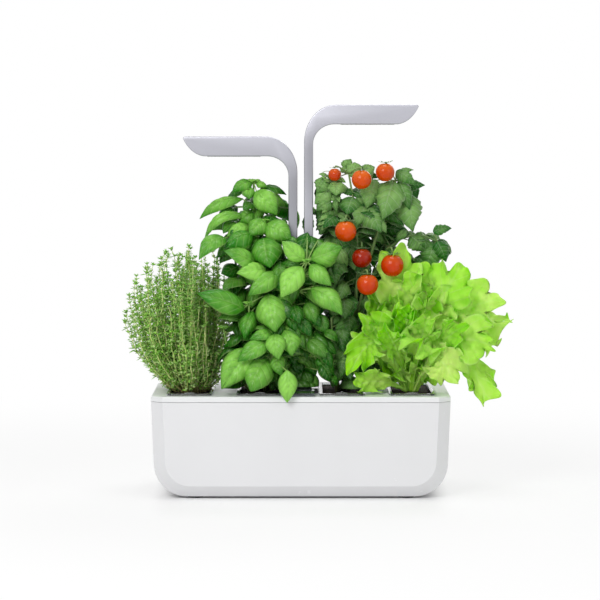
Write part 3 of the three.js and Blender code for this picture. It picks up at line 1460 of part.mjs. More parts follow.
// Rows: bend, tip, width and face. Every leaf starts in the crown.
const lettuceLeafShares = [
  [[-0.25, -0.2, 0.42], [-0.44, -0.32, 0.71], 0.2, 0.6],
  [[-0.16, -0.2, 0.34], [-0.325, -0.34, 0.53], 0.26, 0.75],
  [[-0.2, -0.25, 0.62], [-0.42, -0.42, 0.135], 0.2, 0.7],
  [[-0.2, -0.3, 0.14], [-0.39, -0.38, 0.06], 0.18, 0.9],
  [[-0.08, -0.05, 0.5], [-0.16, -0.12, 0.76], 0.26, 0.8],
  [[-0.02, 0, 0.6], [-0.02, -0.02, 0.98], 0.26, 0.85],
  [[0.12, -0.08, 0.55], [0.37, -0.14, 0.83], 0.34, 0.75],
  [[0.22, -0.15, 0.62], [0.6, -0.25, 0.62], 0.3, 0.7],
  [[0.27, -0.09, 0.6], [0.66, -0.11, 0.42], 0.3, 0.6],
  [[0.22, -0.25, 0.5], [0.54, -0.42, 0.32], 0.28, 0.7],
  [[0.28, 0.08, 0.5], [0.58, 0.12, 0.25], 0.26, 0.4],
  [[0.3, -0.2, 0.55], [0.5, -0.3, -0.06], 0.24, 0.6],
  [[0.18, -0.28, 0.42], [0.27, -0.44, 0.06], 0.24, 0.75],
  [[0.06, -0.24, 0.5], [0.06, -0.44, 0.28], 0.26, 0.8],
  [[-0.06, -0.14, 0.45], [-0.1, -0.28, 0.6], 0.26, 0.85],
  [[0.1, -0.1, 0.5], [0.2, -0.22, 0.68], 0.28, 0.85],
  [[0.06, 0.1, 0.5], [0.1, 0.3, 0.7], 0.28, -0.7],
  [[0.15, 0.18, 0.5], [0.42, 0.34, 0.58], 0.28, -0.5],
  [[-0.08, 0.15, 0.45], [-0.14, 0.33, 0.55], 0.24, -0.6],
  [[0.15, 0.2, 0.45], [0.28, 0.42, 0.3], 0.26, -0.5],
];
const lettuceProfileShares = [
  [0.15, 0.16], [0.4, 0.26], [0.58, 0.62], [0.72, 0.95], [0.85, 1], [0.94, 0.85], [0.985, 0.5],
];

function makeLettuce() {
  const parts = [crownOf(lettuce, stemSpread, stemSpread, heartHeight)];
  const [shareX, shareY] = lettuceFootShares;
  lettuceLeafShares.forEach(([bend, tip, widthShare, face], i) => {
    const leaf = {
      base: onPlant(lettuce, [bend[0] * shareX, bend[1] * shareY, crownHeight / lettuceHeight / 2]),
      knee: onPlant(lettuce, bend),
      tip: onPlant(lettuce, tip),
      width: widthShare * lettuceHeight,
      face,
      profile: lettuceProfileShares,
      ruffle: i % 2 ? ruffleShare : -ruffleShare,
    };
    const rings = bladeRings(leaf);
    const free = (p) => territory.lettuce(p) && clearOfGarden(p);
    const blocked = rings.findIndex((ring, k) => k > 0 && !ring.every(free));
    const end = blocked < 0 ? rings.length : blocked;
    const last = end === rings.length && free(leaf.tip) ? leaf.tip : middleOf(rings[end - 1]);
    if (end > 2) parts.push(skin(rings.slice(0, end), leaf.base, last));
  });
  return joined(parts);
}

place("thyme_plant", makeThyme(), "thyme");
place("basil_plant", makeBasil(), "basil");
place("tomato_plant", makeTomato(), "tomatoLeaf");
place("lettuce_plant", makeLettuce(), "lettuce");
fruitShares.forEach((fruit, i) => place(`tomato_fruit_${i + 1}`, makeFruit(fruit), "fruit"));

export default garden;
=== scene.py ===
import math

import bmesh
import bpy
import numpy as np
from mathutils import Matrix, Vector


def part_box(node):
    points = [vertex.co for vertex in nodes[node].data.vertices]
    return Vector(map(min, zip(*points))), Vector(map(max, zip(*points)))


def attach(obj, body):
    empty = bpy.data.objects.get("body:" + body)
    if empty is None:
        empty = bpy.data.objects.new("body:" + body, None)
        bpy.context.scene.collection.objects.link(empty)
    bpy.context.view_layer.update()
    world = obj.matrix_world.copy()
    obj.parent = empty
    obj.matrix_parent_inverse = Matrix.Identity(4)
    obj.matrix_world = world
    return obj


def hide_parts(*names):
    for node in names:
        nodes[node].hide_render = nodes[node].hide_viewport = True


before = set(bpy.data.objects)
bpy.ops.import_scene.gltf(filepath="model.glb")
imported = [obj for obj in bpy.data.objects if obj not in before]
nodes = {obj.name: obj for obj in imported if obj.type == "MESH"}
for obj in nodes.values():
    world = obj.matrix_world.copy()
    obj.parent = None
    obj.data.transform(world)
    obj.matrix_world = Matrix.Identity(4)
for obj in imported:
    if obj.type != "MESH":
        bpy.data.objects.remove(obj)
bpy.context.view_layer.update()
mm = 0.001
past = 3  # millimetres that a cutter stands out of what it cuts

print("frame loaded,", len(nodes), "nodes")


def unit(v):
    return v / np.maximum(np.linalg.norm(v, axis=-1, keepdims=True), 1e-9)


def smoothStep(value, low, high):
    t = np.clip((value - low) / (high - low), 0, 1)
    return t * t * (3 - 2 * t)


def bezier(start, pull, end, count):
    t = np.linspace(0, 1, count)[:, None]
    return (1 - t) ** 2 * start + 2 * t * (1 - t) * pull + t * t * end


def pointAt(line, where, steps=None):
    # the point of a line at this place along it, in points or in the steps given
    steps = np.arange(len(line)) if steps is None else steps
    return np.stack([np.interp(where, steps, line[:, k]) for k in range(3)], -1)


class Wire:
    # an output socket that can be used in sums
    def __init__(self, finish, socket):
        self.finish = finish
        self.socket = socket

    def sum(self, operation, left, right):
        return self.finish.add("ShaderNodeMath", {"operation": operation}, {0: left, 1: right})

    def __add__(self, other):
        return self.sum("ADD", self, other)

    __radd__ = __add__

    def __sub__(self, other):
        return self.sum("SUBTRACT", self, other)

    def __rsub__(self, other):
        return self.sum("SUBTRACT", other, self)

    def __mul__(self, other):
        return self.sum("MULTIPLY", self, other)

    __rmul__ = __mul__

    def __truediv__(self, other):
        return self.sum("DIVIDE", self, other)

    def __rtruediv__(self, other):
        return self.sum("DIVIDE", other, self)

    def __pow__(self, other):
        return self.sum("POWER", self, other)

    def __rpow__(self, other):
        return self.sum("POWER", other, self)

    def absolute(self):
        return self.sum("ABSOLUTE", self, 0.0)

    def fraction(self):
        return self.sum("FRACT", self, 0.0)

    def most(self, other):
        return self.sum("MAXIMUM", self, other)

    def ramp(self, low, high):
        # 0 at low, 1 at high, smooth between
        return self.finish.add("ShaderNodeMapRange", {"interpolation_type": "SMOOTHSTEP"},
                               {0: self, 1: low, 2: high, 3: 0.0, 4: 1.0})


class Finish:
    # a material, or the world, with its node tree
    def __init__(self, name, world=False):
        self.owner = (bpy.data.worlds if world else bpy.data.materials).new(name)
        self.owner.use_nodes = True
        self.tree = self.owner.node_tree
        self.tree.nodes.clear()
        self.end = "ShaderNodeOutputWorld" if world else "ShaderNodeOutputMaterial"

    def add(self, kind, settings=None, inputs=None, output=0):
        # several outputs come back as a list
        node = self.tree.nodes.new(kind)
        for name, value in (settings or {}).items():
            setattr(node, name, value)
        for name, value in (inputs or {}).items():
            self.put(node.inputs[name], value)
        if isinstance(output, tuple):
            return [Wire(self, node.outputs[name]) for name in output]
        return Wire(self, node.outputs[output])

    def put(self, socket, value):
        if isinstance(value, Wire):
            self.tree.links.new(value.socket, socket)
        elif socket.type == "RGBA" and len(value) == 3:
            socket.default_value = (*value, 1.0)
        else:
            socket.default_value = value

    def mix(self, share, one, other):
        # colours from one to other
        return self.add("ShaderNodeMix", {"data_type": "RGBA"}, {0: share, 6: one, 7: other}, 2)

    def shade(self, colour, strength):
        # a colour times a grey
        grey = self.add("ShaderNodeCombineColor", None, {0: strength, 1: strength, 2: strength})
        return self.add("ShaderNodeMix", {"data_type": "RGBA", "blend_type": "MULTIPLY"},
                        {0: 1.0, 6: colour, 7: grey}, 2)

    def place(self):
        return self.add("ShaderNodeTexCoord", None, None, "Object")

    def height(self):
        return self.add("ShaderNodeSeparateXYZ", None, {0: self.place()}, "Z")

    def noise(self, size, detail=3.0, rough=0.5, at=None):
        # size in millimetres
        return self.add("ShaderNodeTexNoise", None,
                        {"Vector": at or self.place(), "Scale": 1 / (size * mm), "Detail": detail,
                         "Roughness": rough})

    def drawn(self, size, stretch):
        # fine lines that run up and down, size in millimetres
        lines = self.add("ShaderNodeVectorMath", {"operation": "MULTIPLY"},
                         {0: self.place(), 1: (1.0, 1.0, stretch)})
        return self.noise(size, 2, at=lines)

    def bump(self, height, depth):
        # depth in millimetres
        return self.add("ShaderNodeBump", None,
                        {"Height": height, "Strength": 1.0, "Distance": depth * mm})

    def surface(self, **inputs):
        words = {"color": "Base Color", "rough": "Roughness", "metal": "Metallic",
                 "normal": "Normal", "coat": "Coat Weight", "coatRough": "Coat Roughness",
                 "clear": "Transmission Weight", "ior": "IOR", "shine": "Specular IOR Level",
                 "subsurface": "Subsurface Weight", "subsurfaceScale": "Subsurface Scale",
                 "subsurfaceRadius": "Subsurface Radius"}
        return self.add("ShaderNodeBsdfPrincipled", None,
                        {words[name]: value for name, value in inputs.items()})

    def show(self, shader):
        self.add(self.end, None, {"Surface": shader}, ())
        return self.owner


def tone(red, green, blue):
    # a screen colour, 0 to 255, as scene values
    def straight(value):
        value = value / 255
        return value / 12.92 if value <= 0.04045 else ((value + 0.055) / 1.055) ** 2.4
    return (straight(red), straight(green), straight(blue))


def glossyPlastic(name, colour, rough, grain, coat=0.0, shine=0.5):
    # moulded plastic: faint flow marks, a slight orange-peel surface and finger-worn gloss
    finish = Finish(name)
    mottle = 0.02
    flow = finish.noise(60, 2)
    peel = finish.noise(1.1, 2)
    smudge = finish.noise(24, 4, 0.6)
    return finish.show(finish.surface(
        color=finish.shade(colour, 1 - mottle + flow * (2 * mottle)),
        rough=rough * 0.8 + smudge * (rough * 0.5), normal=finish.bump(peel, grain), coat=coat,
        coatRough=0.08, shine=shine))


def brushedMetal(name, colour, rough, metal):
    # anodised metal: fine upright lines, with a satin surface
    finish = Finish(name)
    streak = finish.drawn(0.35, 0.02)
    cloud = finish.noise(40, 2)
    return finish.show(finish.surface(
        color=finish.shade(colour, 0.95 + streak * 0.05 + cloud * 0.05), metal=metal,
        rough=rough - 0.05 + streak * 0.1, normal=finish.bump(streak, 0.01)))


def armMetal(name, colour, rough, top):
    # satin metal of one lamp: brushed along the arm, with painted shade darker where the arm turns up to the
    # head and a little lighter again lower down
    finish = Finish(name)
    streak = finish.drawn(0.5, 0.05)
    below = (top * mm - finish.height()) / mm
    (bendFrom, bendTo, bendShade), (sideFrom, sideTo, sideShade) = armLook["bend"], armLook["side"]
    # painted shade by height below the arm's top, in mm: darker over the bend, lighter again down the side
    shade = armLook["head"] - below.ramp(bendFrom, bendTo) * bendShade \
        + below.ramp(sideFrom, sideTo) * sideShade
    return finish.show(finish.surface(
        color=finish.shade(colour, shade * (0.96 + streak * 0.05)), metal=armLook["metal"],
        rough=rough - 0.04 + streak * 0.08, normal=finish.bump(streak, 0.008)))


def satinPlastic(name, colour, rough, grain=0.05):
    finish = Finish(name)
    spark = finish.noise(0.5, 3, 0.7)
    cloud = finish.noise(18, 2)
    return finish.show(finish.surface(
        color=finish.shade(colour, 0.93 + cloud * 0.14), rough=rough - 0.06 + spark * 0.12,
        normal=finish.bump(spark, grain)))


def rubber(name, colour):
    finish = Finish(name)
    dust = finish.noise(6, 4, 0.7)
    grit = finish.noise(0.4, 3, 0.7)
    return finish.show(finish.surface(
        color=finish.mix(dust * 0.25, colour, (0.09, 0.09, 0.09)), rough=0.7 + grit * 0.2,
        normal=finish.bump(grit, 0.06)))


def circuitBoard(name, mask, copper):
    # green solder mask with paler tracks under it
    finish = Finish(name)
    place = finish.place()
    cells = finish.add("ShaderNodeTexVoronoi", {"feature": "DISTANCE_TO_EDGE", "distance": "EUCLIDEAN"},
                       {"Vector": place, "Scale": 260.0}, "Distance")
    track = 1 - cells.ramp(0.03, 0.09)
    return finish.show(finish.surface(
        color=finish.mix(track * 0.6, mask, copper), rough=0.35 + track * 0.1,
        normal=finish.bump(track, 0.03)))


def clearPlastic(name, colour, rough):
    # thin clear tray: slightly cloudy, with a few wipe marks
    finish = Finish(name)
    wipe = finish.noise(16, 4, 0.7)
    return finish.show(finish.surface(
        color=finish.shade(colour, 0.94 + wipe * 0.06), rough=rough + wipe * 0.06, clear=0.94,
        ior=1.46, normal=finish.bump(finish.noise(5, 2), 0.02)))


def wovenFelt(name, colour):
    finish = Finish(name)
    fibre = finish.noise(0.35, 5, 0.8)
    return finish.show(finish.surface(
        color=finish.shade(colour, 0.75 + fibre * 0.4), rough=0.9, normal=finish.bump(fibre, 0.15)))


shellLook = {"colour": tone(228, 228, 230), "rough": 0.24, "bevel": 1.4}
deckLook = {"colour": tone(232, 233, 234), "rough": 0.36, "bevel": 0.5}
coverLook = {"colour": tone(16, 17, 19), "rough": 0.08, "bevel": 0.35}
housingLook = {"colour": tone(52, 54, 57), "rough": 0.5}
potLook = {"colour": tone(238, 242, 242), "rough": 0.04}
postLook = {"colour": tone(66, 74, 84), "rough": 0.34}
flapLook = {"colour": tone(150, 160, 162), "rough": 0.06}
# painted shade along each arm: the head's tone, then where the darker bend and the lighter side begin and end
# below the top, in mm, and their shade
armLook = {"colour": tone(202, 202, 211), "rough": 0.42, "metal": 0.72, "head": 0.8,
           "bend": (18.0, 56.0, 0.26), "side": (68.0, 128.0, 0.16), "edge": 1.2, "steps": 20}
# the last value is painted shade: the left arm is a darker copy of the same metal
lamps = {"right": (1, 447.0, 1.0), "left": (-1, 410.3, 0.93)}  # way it reaches, top in mm, tone

finishes = {
    "shell": glossyPlastic("whiteShell", shellLook["colour"], shellLook["rough"], 0.015),
    "deck": glossyPlastic("whiteDeck", deckLook["colour"], deckLook["rough"], 0.012, shine=0.3),
    "cover": glossyPlastic("pianoBlack", coverLook["colour"], coverLook["rough"], 0.008, 0.6),
    "housing": satinPlastic("greyHousing", housingLook["colour"], housingLook["rough"]),
    "foot": rubber("blackRubber", tone(38, 39, 41)),
    "pot": clearPlastic("clearTray", potLook["colour"], potLook["rough"]),
    "wick": wovenFelt("creamFelt", tone(218, 212, 198)),
    "steel": brushedMetal("screwSteel", tone(176, 178, 182), 0.3, 1.0),
    "brass": brushedMetal("contactBrass", tone(206, 168, 92), 0.28, 1.0),
    "post": brushedMetal("slatePost", postLook["colour"], postLook["rough"], 0.5),
    "collar": satinPlastic("darkCollar", tone(58, 61, 66), 0.45),
    "circuit": circuitBoard("greenBoard", tone(28, 84, 48), tone(72, 132, 76)),
    "ledBoard": circuitBoard("whiteBoard", tone(236, 238, 234), tone(214, 216, 210)),
    "lead": satinPlastic("blackLead", tone(30, 31, 33), 0.55, 0.03),
    "float": satinPlastic("orangeFloat", tone(222, 104, 34), 0.4, 0.04),
    "lens": clearPlastic("milkyLens", tone(244, 246, 244), 0.3),
    "flap": clearPlastic("smokedFlap", flapLook["colour"], flapLook["rough"]),
}
# each arm's colour carries its painted shade
for side, (_, top, paintedDim) in lamps.items():
    finishes[f"arm_{side}"] = armMetal(f"satinArm{side.title()}", tuple(paintedDim * c for c in armLook["colour"]),
                                       armLook["rough"], top)
print("finishes made")


def smoothFaces(piece, smooth=True):
    piece.data.polygons.foreach_set("use_smooth", [smooth] * len(piece.data.polygons))


def softEdges(piece, width, segments=3, angle=24):
    # rounds the edges that turn by more than the angle
    soft = piece.modifiers.new("round", "BEVEL")
    soft.width = width * mm
    soft.segments = segments
    soft.limit_method = "ANGLE"
    soft.angle_limit = math.radians(angle)
    soft.harden_normals = True
    return soft


def roundEdges(piece, width, segments=3, angle=24):
    # joins what is flat first, so that only true edges are rounded
    flat = piece.modifiers.new("flat", "DECIMATE")
    flat.decimate_type = "DISSOLVE"
    flat.angle_limit = math.radians(0.4)
    softEdges(piece, width, segments, angle)


def smoothNode(node, finish, bevel):
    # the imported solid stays, with welded corners, softly rounded edges and its own finish
    piece = nodes[node]
    piece.data.materials.clear()
    piece.data.materials.append(finishes[finish])
    if "custom_normal" in piece.data.attributes:
        piece.data.attributes.remove(piece.data.attributes["custom_normal"])
    smoothFaces(piece)
    piece.modifiers.new("weld", "WELD").merge_threshold = 0.00001
    softEdges(piece, bevel).miter_outer = "MITER_ARC"


# finish and rounding in millimetres of each solid that is shown as it is
smoothed = {
    "deck": ("deck", deckLook["bevel"]), "console_cover": ("cover", coverLook["bevel"]),
    "console_housing": ("housing", 0.3), "power_button": ("housing", 0.35),
    "power_inlet": ("housing", 0.25), "inlet_lead": ("lead", 0.2),
    "control_board": ("circuit", 0.15), "led_driver_board": ("circuit", 0.15),
    "refill_chute": ("shell", 0.25), "refill_flap": ("flap", 0.4),
    "flap_pin": ("steel", 0.15), "level_float": ("float", 0.5),
}
for end in ("front", "rear"):
    smoothed[f"console_screw_{end}"] = ("steel", 0.2)
    for side in ("left", "right"):
        smoothed[f"foot_{end}_{side}"] = ("foot", 0.5)
for side in ("left", "right"):
    smoothed[f"post_{side}"] = ("post", 0.5)
    smoothed[f"post_cap_{side}"] = ("collar", 0.3)
    smoothed[f"contact_strip_{side}"] = ("brass", 0.15)
    smoothed[f"sleeve_collar_{side}"] = ("collar", 0.4)
    smoothed[f"led_board_{side}"] = ("ledBoard", 0.1)
    smoothed[f"lamp_lens_{side}"] = ("lens", 0.25)
    smoothed[f"lamp_lead_{side}"] = ("lead", 0.1)
for number in range(1, 5):
    smoothed[f"pot_{number}"] = ("pot", 0.4)
    smoothed[f"wick_{number}"] = ("wick", 0.3)
for node, (finish, bevel) in smoothed.items():
    smoothNode(node, finish, bevel)


def meshPiece(name, points, faces, finish, body, smooth=True):
    mesh = bpy.data.meshes.new(name)
    mesh.from_pydata([tuple(p) for p in points], [], [tuple(f) for f in faces])
    mesh.validate()
    piece = bpy.data.objects.new(name, mesh)
    smoothFaces(piece, smooth)
    bpy.context.scene.collection.objects.link(piece)
    if finish:
        mesh.materials.append(finish)
    if body:
        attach(piece, body)
    return piece


def ringFaces(rings, count):
    # the sides between closed rings of equal count
    sides = [(k, (k + 1) % count, (k + 1) % count + count, k + count) for k in range(count)]
    return [tuple(r * count + k for k in side) for r in range(rings - 1) for side in sides]


def gridFaces(rows, columns):
    # the faces of a grid of points, and the points of its rim in order
    index = np.arange(rows * columns).reshape(rows, columns)
    a, b = index[:-1, :-1].ravel(), index[:-1, 1:].ravel()
    c, d = index[1:, 1:].ravel(), index[1:, :-1].ravel()
    rim = np.concatenate([index[0, :], index[1:, -1], index[-1, -2::-1], index[-2:0:-1, 0]])
    return np.stack([a, b, c, d], 1), rim


def loftMesh(rings):
    # closed skin over rings of equal count, with a cap at each end
    count = len(rings[0])
    points = [p for ring in rings for p in ring]
    ends = tuple(range(count))[::-1], tuple(range((len(rings) - 1) * count, len(rings) * count))
    return points, [ends[0], *ringFaces(len(rings), count), ends[1]]


def boxMesh(low, high):
    # corners in millimetres
    (x0, y0, z0), (x1, y1, z1) = [[v * mm for v in corner] for corner in (low, high)]
    return loftMesh([[(x0, y0, z), (x1, y0, z), (x1, y1, z), (x0, y1, z)] for z in (z0, z1)])


def rodMesh(x, y, radius, z0, z1, steps=32):
    # an upright round bar, in millimetres
    ring = [(math.cos(2 * math.pi * k / steps) * radius + x,
             math.sin(2 * math.pi * k / steps) * radius + y) for k in range(steps)]
    return loftMesh([[(px * mm, py * mm, z * mm) for px, py in ring] for z in (z0, z1)])


def outward(piece):
    # faces point out
    work = bmesh.new()
    work.from_mesh(piece.data)
    bmesh.ops.recalc_face_normals(work, faces=work.faces)
    work.to_mesh(piece.data)
    work.free()
    return piece


def carve(piece, cutters):
    # takes the cutters out of the piece, for good
    for number, (points, faces) in enumerate(cutters):
        cutter = outward(meshPiece(f"cutter{number}", points, faces, None, None, False))
        cut = piece.modifiers.new("cut", "BOOLEAN")
        cut.operation = "DIFFERENCE"
        cut.solver = "EXACT"
        cut.object = cutter
        bpy.context.view_layer.update()
        carved = bpy.data.meshes.new_from_object(
            piece.evaluated_get(bpy.context.evaluated_depsgraph_get()))
        piece.modifiers.clear()
        piece.data = carved
        bpy.data.objects.remove(cutter)
    smoothFaces(piece)


# the tank, as the model has it but with finer corners, in millimetres
tankSize = {"width": 340, "depth": 180, "top": 110.6, "draft": 4.5, "corner": 38, "bevel": 13.7,
            "bevelDepth": 12, "bevelRise": 13, "panel": 28, "wall": 2.6, "foot": 2.5, "steps": 22,
            "feet": (120, 64), "pocket": 9.3, "pocketTop": 3.7, "pad": 16, "padTop": 2.4,
            "padEdge": 0.4, "notch": ((-13.5, 84.4, 94), (13.5, 93, 117))}


def tankRing(y, inset, floor, radius, top):
    size = tankSize
    rim = size["width"] / 2 - inset
    lean = size["draft"] * (size["top"] - floor - radius) / size["top"]
    middle = rim - lean - radius
    ring = [(rim, y, top)]
    for side in (0, 1):
        for k in range(size["steps"] + 1):
            turn = -(side + k / size["steps"]) * math.pi / 2
            x = (-middle if side else middle) + math.cos(turn) * radius
            ring.append((x, y, floor + radius + math.sin(turn) * radius))
    ring.append((-rim, y, top))
    return [(x * mm, y * mm, z * mm) for x, y, z in ring]


def tankBulk(offset, top):
    size = tankSize
    panel = size["depth"] / 2 - offset
    shoulder = size["depth"] / 2 - size["bevelDepth"]
    floor = size["foot"] + offset
    def front(y):
        return tankRing(y, size["bevel"], floor + size["bevelRise"], size["panel"] - offset, top)
    def middle(y):
        return tankRing(y, offset, floor, size["corner"] - offset, top)
    return loftMesh([front(-panel), middle(-shoulder), middle(shoulder), front(panel)])


def makeTank():
    size = tankSize
    feetX, feetY = size["feet"]
    points, faces = tankBulk(0, size["top"])
    tank = outward(meshPiece("tankShell", points, faces, finishes["shell"], "tank"))
    cutters = [tankBulk(size["wall"], size["top"] + past)]
    cutters += [rodMesh(x, y, size["pocket"], -past, size["pocketTop"])
                for x in (-feetX, feetX) for y in (-feetY, feetY)]
    cutters.append(boxMesh(*size["notch"]))
    carve(tank, cutters)
    points, faces = rodMesh(0, 0, size["pad"], 0, size["padTop"], 40)
    pad = outward(meshPiece("tankPad", points, faces, finishes["shell"], "tank"))
    roundEdges(pad, size["padEdge"])
    roundEdges(tank, shellLook["bevel"], 3, 20)
    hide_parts("tank")


makeTank()
print("tank made")


# lamp arms: one bent metal case each, with finer bends than the solid, in millimetres
armSize = {"x": 9.05, "thickness": 10.3, "breadth": 56, "wall": 1.2, "reach": 135.5, "head": 22.6,
           "outerX": 36.6, "outerZ": 43.3, "innerX": 24.5, "innerZ": 22.9, "nose": 23.7,
           "nosePull": (0.36, 0.11), "noseTop": 2.4, "mouth": 154.3, "window": (46.0, 108.0),
           "windowHalf": 22.5, "windowDepth": 1.5, "y": 10, "lip": 0.25}


def armOutline(inset, mouth):
    # from the mouth round the inner bend, along the sole, round the nose and back over the roof
    size = armSize
    back = size["x"] - size["thickness"] / 2 + inset
    face = size["x"] + size["thickness"] / 2 - inset
    roof, sole, tip = -inset, inset - size["head"], size["reach"] - inset
    pullX, pullZ = size["nosePull"]
    bend = [k / armLook["steps"] * math.pi / 2 for k in range(armLook["steps"] + 1)]
    line = [(back, mouth), (face, mouth)]
    line += [(face + (size["innerX"] + inset) * (1 - math.cos(turn)),
              sole - (size["innerZ"] + inset) * (1 - math.sin(turn))) for turn in bend]
    nose = np.array([(tip - size["nose"], sole), (tip - size["nose"] * pullX, sole + size["head"] * pullZ),
                     (tip, roof - size["noseTop"])])
    line += bezier(*nose, 11).tolist()
    for k in range(1, 7):
        turn = k / 6 * math.pi / 2
        line.append((tip - size["noseTop"] * (1 - math.cos(turn)),
                     roof - size["noseTop"] * (1 - math.sin(turn))))
    line += [(back + (size["outerX"] - inset) * (1 - math.sin(turn)),
              roof - (size["outerZ"] - inset) * (1 - math.cos(turn))) for turn in bend]
    return line


def armBulk(inset, mouth, breadth, edge, mirror, top):
    # the outline through the breadth, drawn in along a quarter circle at both faces
    steps = 5 if edge else 0
    layers = []
    for k in range(steps + 1):
        turn = k / max(steps, 1) * math.pi / 2
        layers.append((inset + edge * (1 - math.sin(turn)), -breadth / 2 + edge * (1 - math.cos(turn))))
    layers += [(drawn, -y) for drawn, y in layers[::-1]]
    return loftMesh([[(x * mirror * mm, (armSize["y"] + y) * mm, (z + top) * mm)
                      for x, z in armOutline(drawn, mouth)] for drawn, y in layers])


def makeArm(side, mirror, top):
    size = armSize
    points, faces = armBulk(0, -size["mouth"], size["breadth"], armLook["edge"], mirror, top)
    arm = outward(meshPiece(f"lampCase_{side}", points, faces, finishes[f"arm_{side}"], f"lamp_{side}"))
    low, high = sorted(x * mirror for x in size["window"])
    half, sole = size["windowHalf"], top - size["head"]
    carve(arm, [
        armBulk(size["wall"], -size["mouth"] - past, size["breadth"] - 2 * size["wall"], 0, mirror, top),
        boxMesh((low, size["y"] - half, sole - past), (high, size["y"] + half, sole + size["windowDepth"])),
    ])
    roundEdges(arm, size["lip"], 2, 32)
    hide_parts(f"lamp_arm_{side}")


for side, (mirror, top, _) in lamps.items():
    makeArm(side, mirror, top)
print("lamps made")


# the plants: middle and height of each, and the borders between them, in metres; a border leans
# in plan, so front leaves reach over the next plant
garden = {"soil": 0.1166, "root": 0.002, "middle": -0.008, "half": 0.05,
          "thyme": (-0.1265, 0.168), "basil": (-0.047, 0.244), "tomato": (0.047, 0.27),
          "lettuce": (0.1265, 0.174), "thymeBorder": (-0.08675, 0.55), "thymeTop": 0.2875,
          "lettuceBorder": (0.08675, 0.75), "lettuceTops": (0.72, 1.03)}
# what stands round them: half sizes in plan, levels, the flap's swing and the lamps' lowest soles
around = {"gap": 0.0008, "deck": (0.17, 0.09), "lying": (0.1712, 0.0912), "lift": 0.0002,
          "console": 0.0222, "tabs": -0.078, "high": 0.1222, "rims": 0.1194, "outside": 0.098,
          "posts": (0.0142, 0.028), "postMiddle": 0.01, "flap": (0.0155, -0.0405, 0.156),
          "soles": (0.3677, 0.4044), "bend": (0.0387, 0.0115)}


def onPlant(plant, place):
    # shares of the plant's height: right, rear, up
    x, height = garden[plant]
    place = np.asarray(place, float)
    return place * height + np.array([x, garden["middle"], garden["soil"]])


def deckLevel(x, y):
    # top of what lies on the deck: the console in the middle, the pots' tabs in front, else the rims
    high = np.where((abs(x) < around["console"]) | (y < around["tabs"]), around["high"], around["rims"])
    return high + around["gap"]


def restOnDeck(grid):
    # a leaf that hangs to the deck lies on it
    x, y, z = grid[..., 0], grid[..., 1], grid[..., 2]
    halfX, halfY = around["lying"]
    over = (abs(x) < halfX) & (abs(y) < halfY)
    grid = grid.copy()
    grid[..., 2] = np.where(over, np.maximum(z, deckLevel(x, y) + around["lift"]), z)
    return grid


def clearOfGarden(p):
    # free of the deck, the posts, the flap's swing and the lamps' travel
    x, y, z = p[..., 0], p[..., 1], p[..., 2]
    gap = around["gap"]
    (deckX, deckY), (postX, postY) = around["deck"], around["posts"]
    flapX, flapY, flapTop = around["flap"]
    bendX, bendDrop = around["bend"]
    overDeck = (abs(x) < deckX + gap) & (abs(y) < deckY + gap)
    low = np.where(overDeck, deckLevel(x, y), around["outside"])
    besidePosts = (abs(x) < postX + gap) & (abs(y - around["postMiddle"]) < postY + gap)
    overFlap = overDeck & (abs(x) < flapX + gap) & (y < flapY) & (z < flapTop + gap)
    sole = np.where(x < 0, *around["soles"]) - gap - np.where(abs(x) < bendX, bendDrop, 0)
    return (z > low) & ~besidePosts & ~overFlap & (z < sole)


def border(plant, y):
    x, lean = garden[f"{plant}Border"]
    return x + lean * (y - garden["middle"])


def ownGround(plant, p):
    # inside the borders with the neighbours
    x, y, z = p[..., 0], p[..., 1], p[..., 2]
    gap, soil, thymeTop = around["gap"], garden["soil"], garden["thymeTop"]
    middle = np.maximum(0, garden["middle"] - y)
    lettuceTop = soil + garden["lettuce"][1] * np.where(y > garden["middle"], *garden["lettuceTops"])
    if plant == "thyme":
        return (x < border("thyme", y) - gap) & (z < thymeTop)
    if plant == "basil":
        return (x < middle - gap) & ((z > thymeTop + gap) | (x > border("thyme", y) + gap))
    if plant == "tomato":
        return (x > middle + gap) & ((z > lettuceTop + gap) | (x < border("lettuce", y) - gap))
    return (x > border("lettuce", y) + gap) & (z < lettuceTop)


def isFree(plant, points, spare=()):
    # spare: centres and radii that stay free, such as the fruits
    if not (clearOfGarden(points) & ownGround(plant, points)).all():
        return False
    return all((np.linalg.norm(points - centre, axis=-1) > radius).all() for centre, radius in spare)


def tinted(tint, count):
    # a leaf's own green, which for some plants also carries painted light, its depth of painted shade and 0
    # for its upper side, at each point
    return np.tile(np.array([tint[0], tint[1], 0.0, 1.0]), (count, 1))


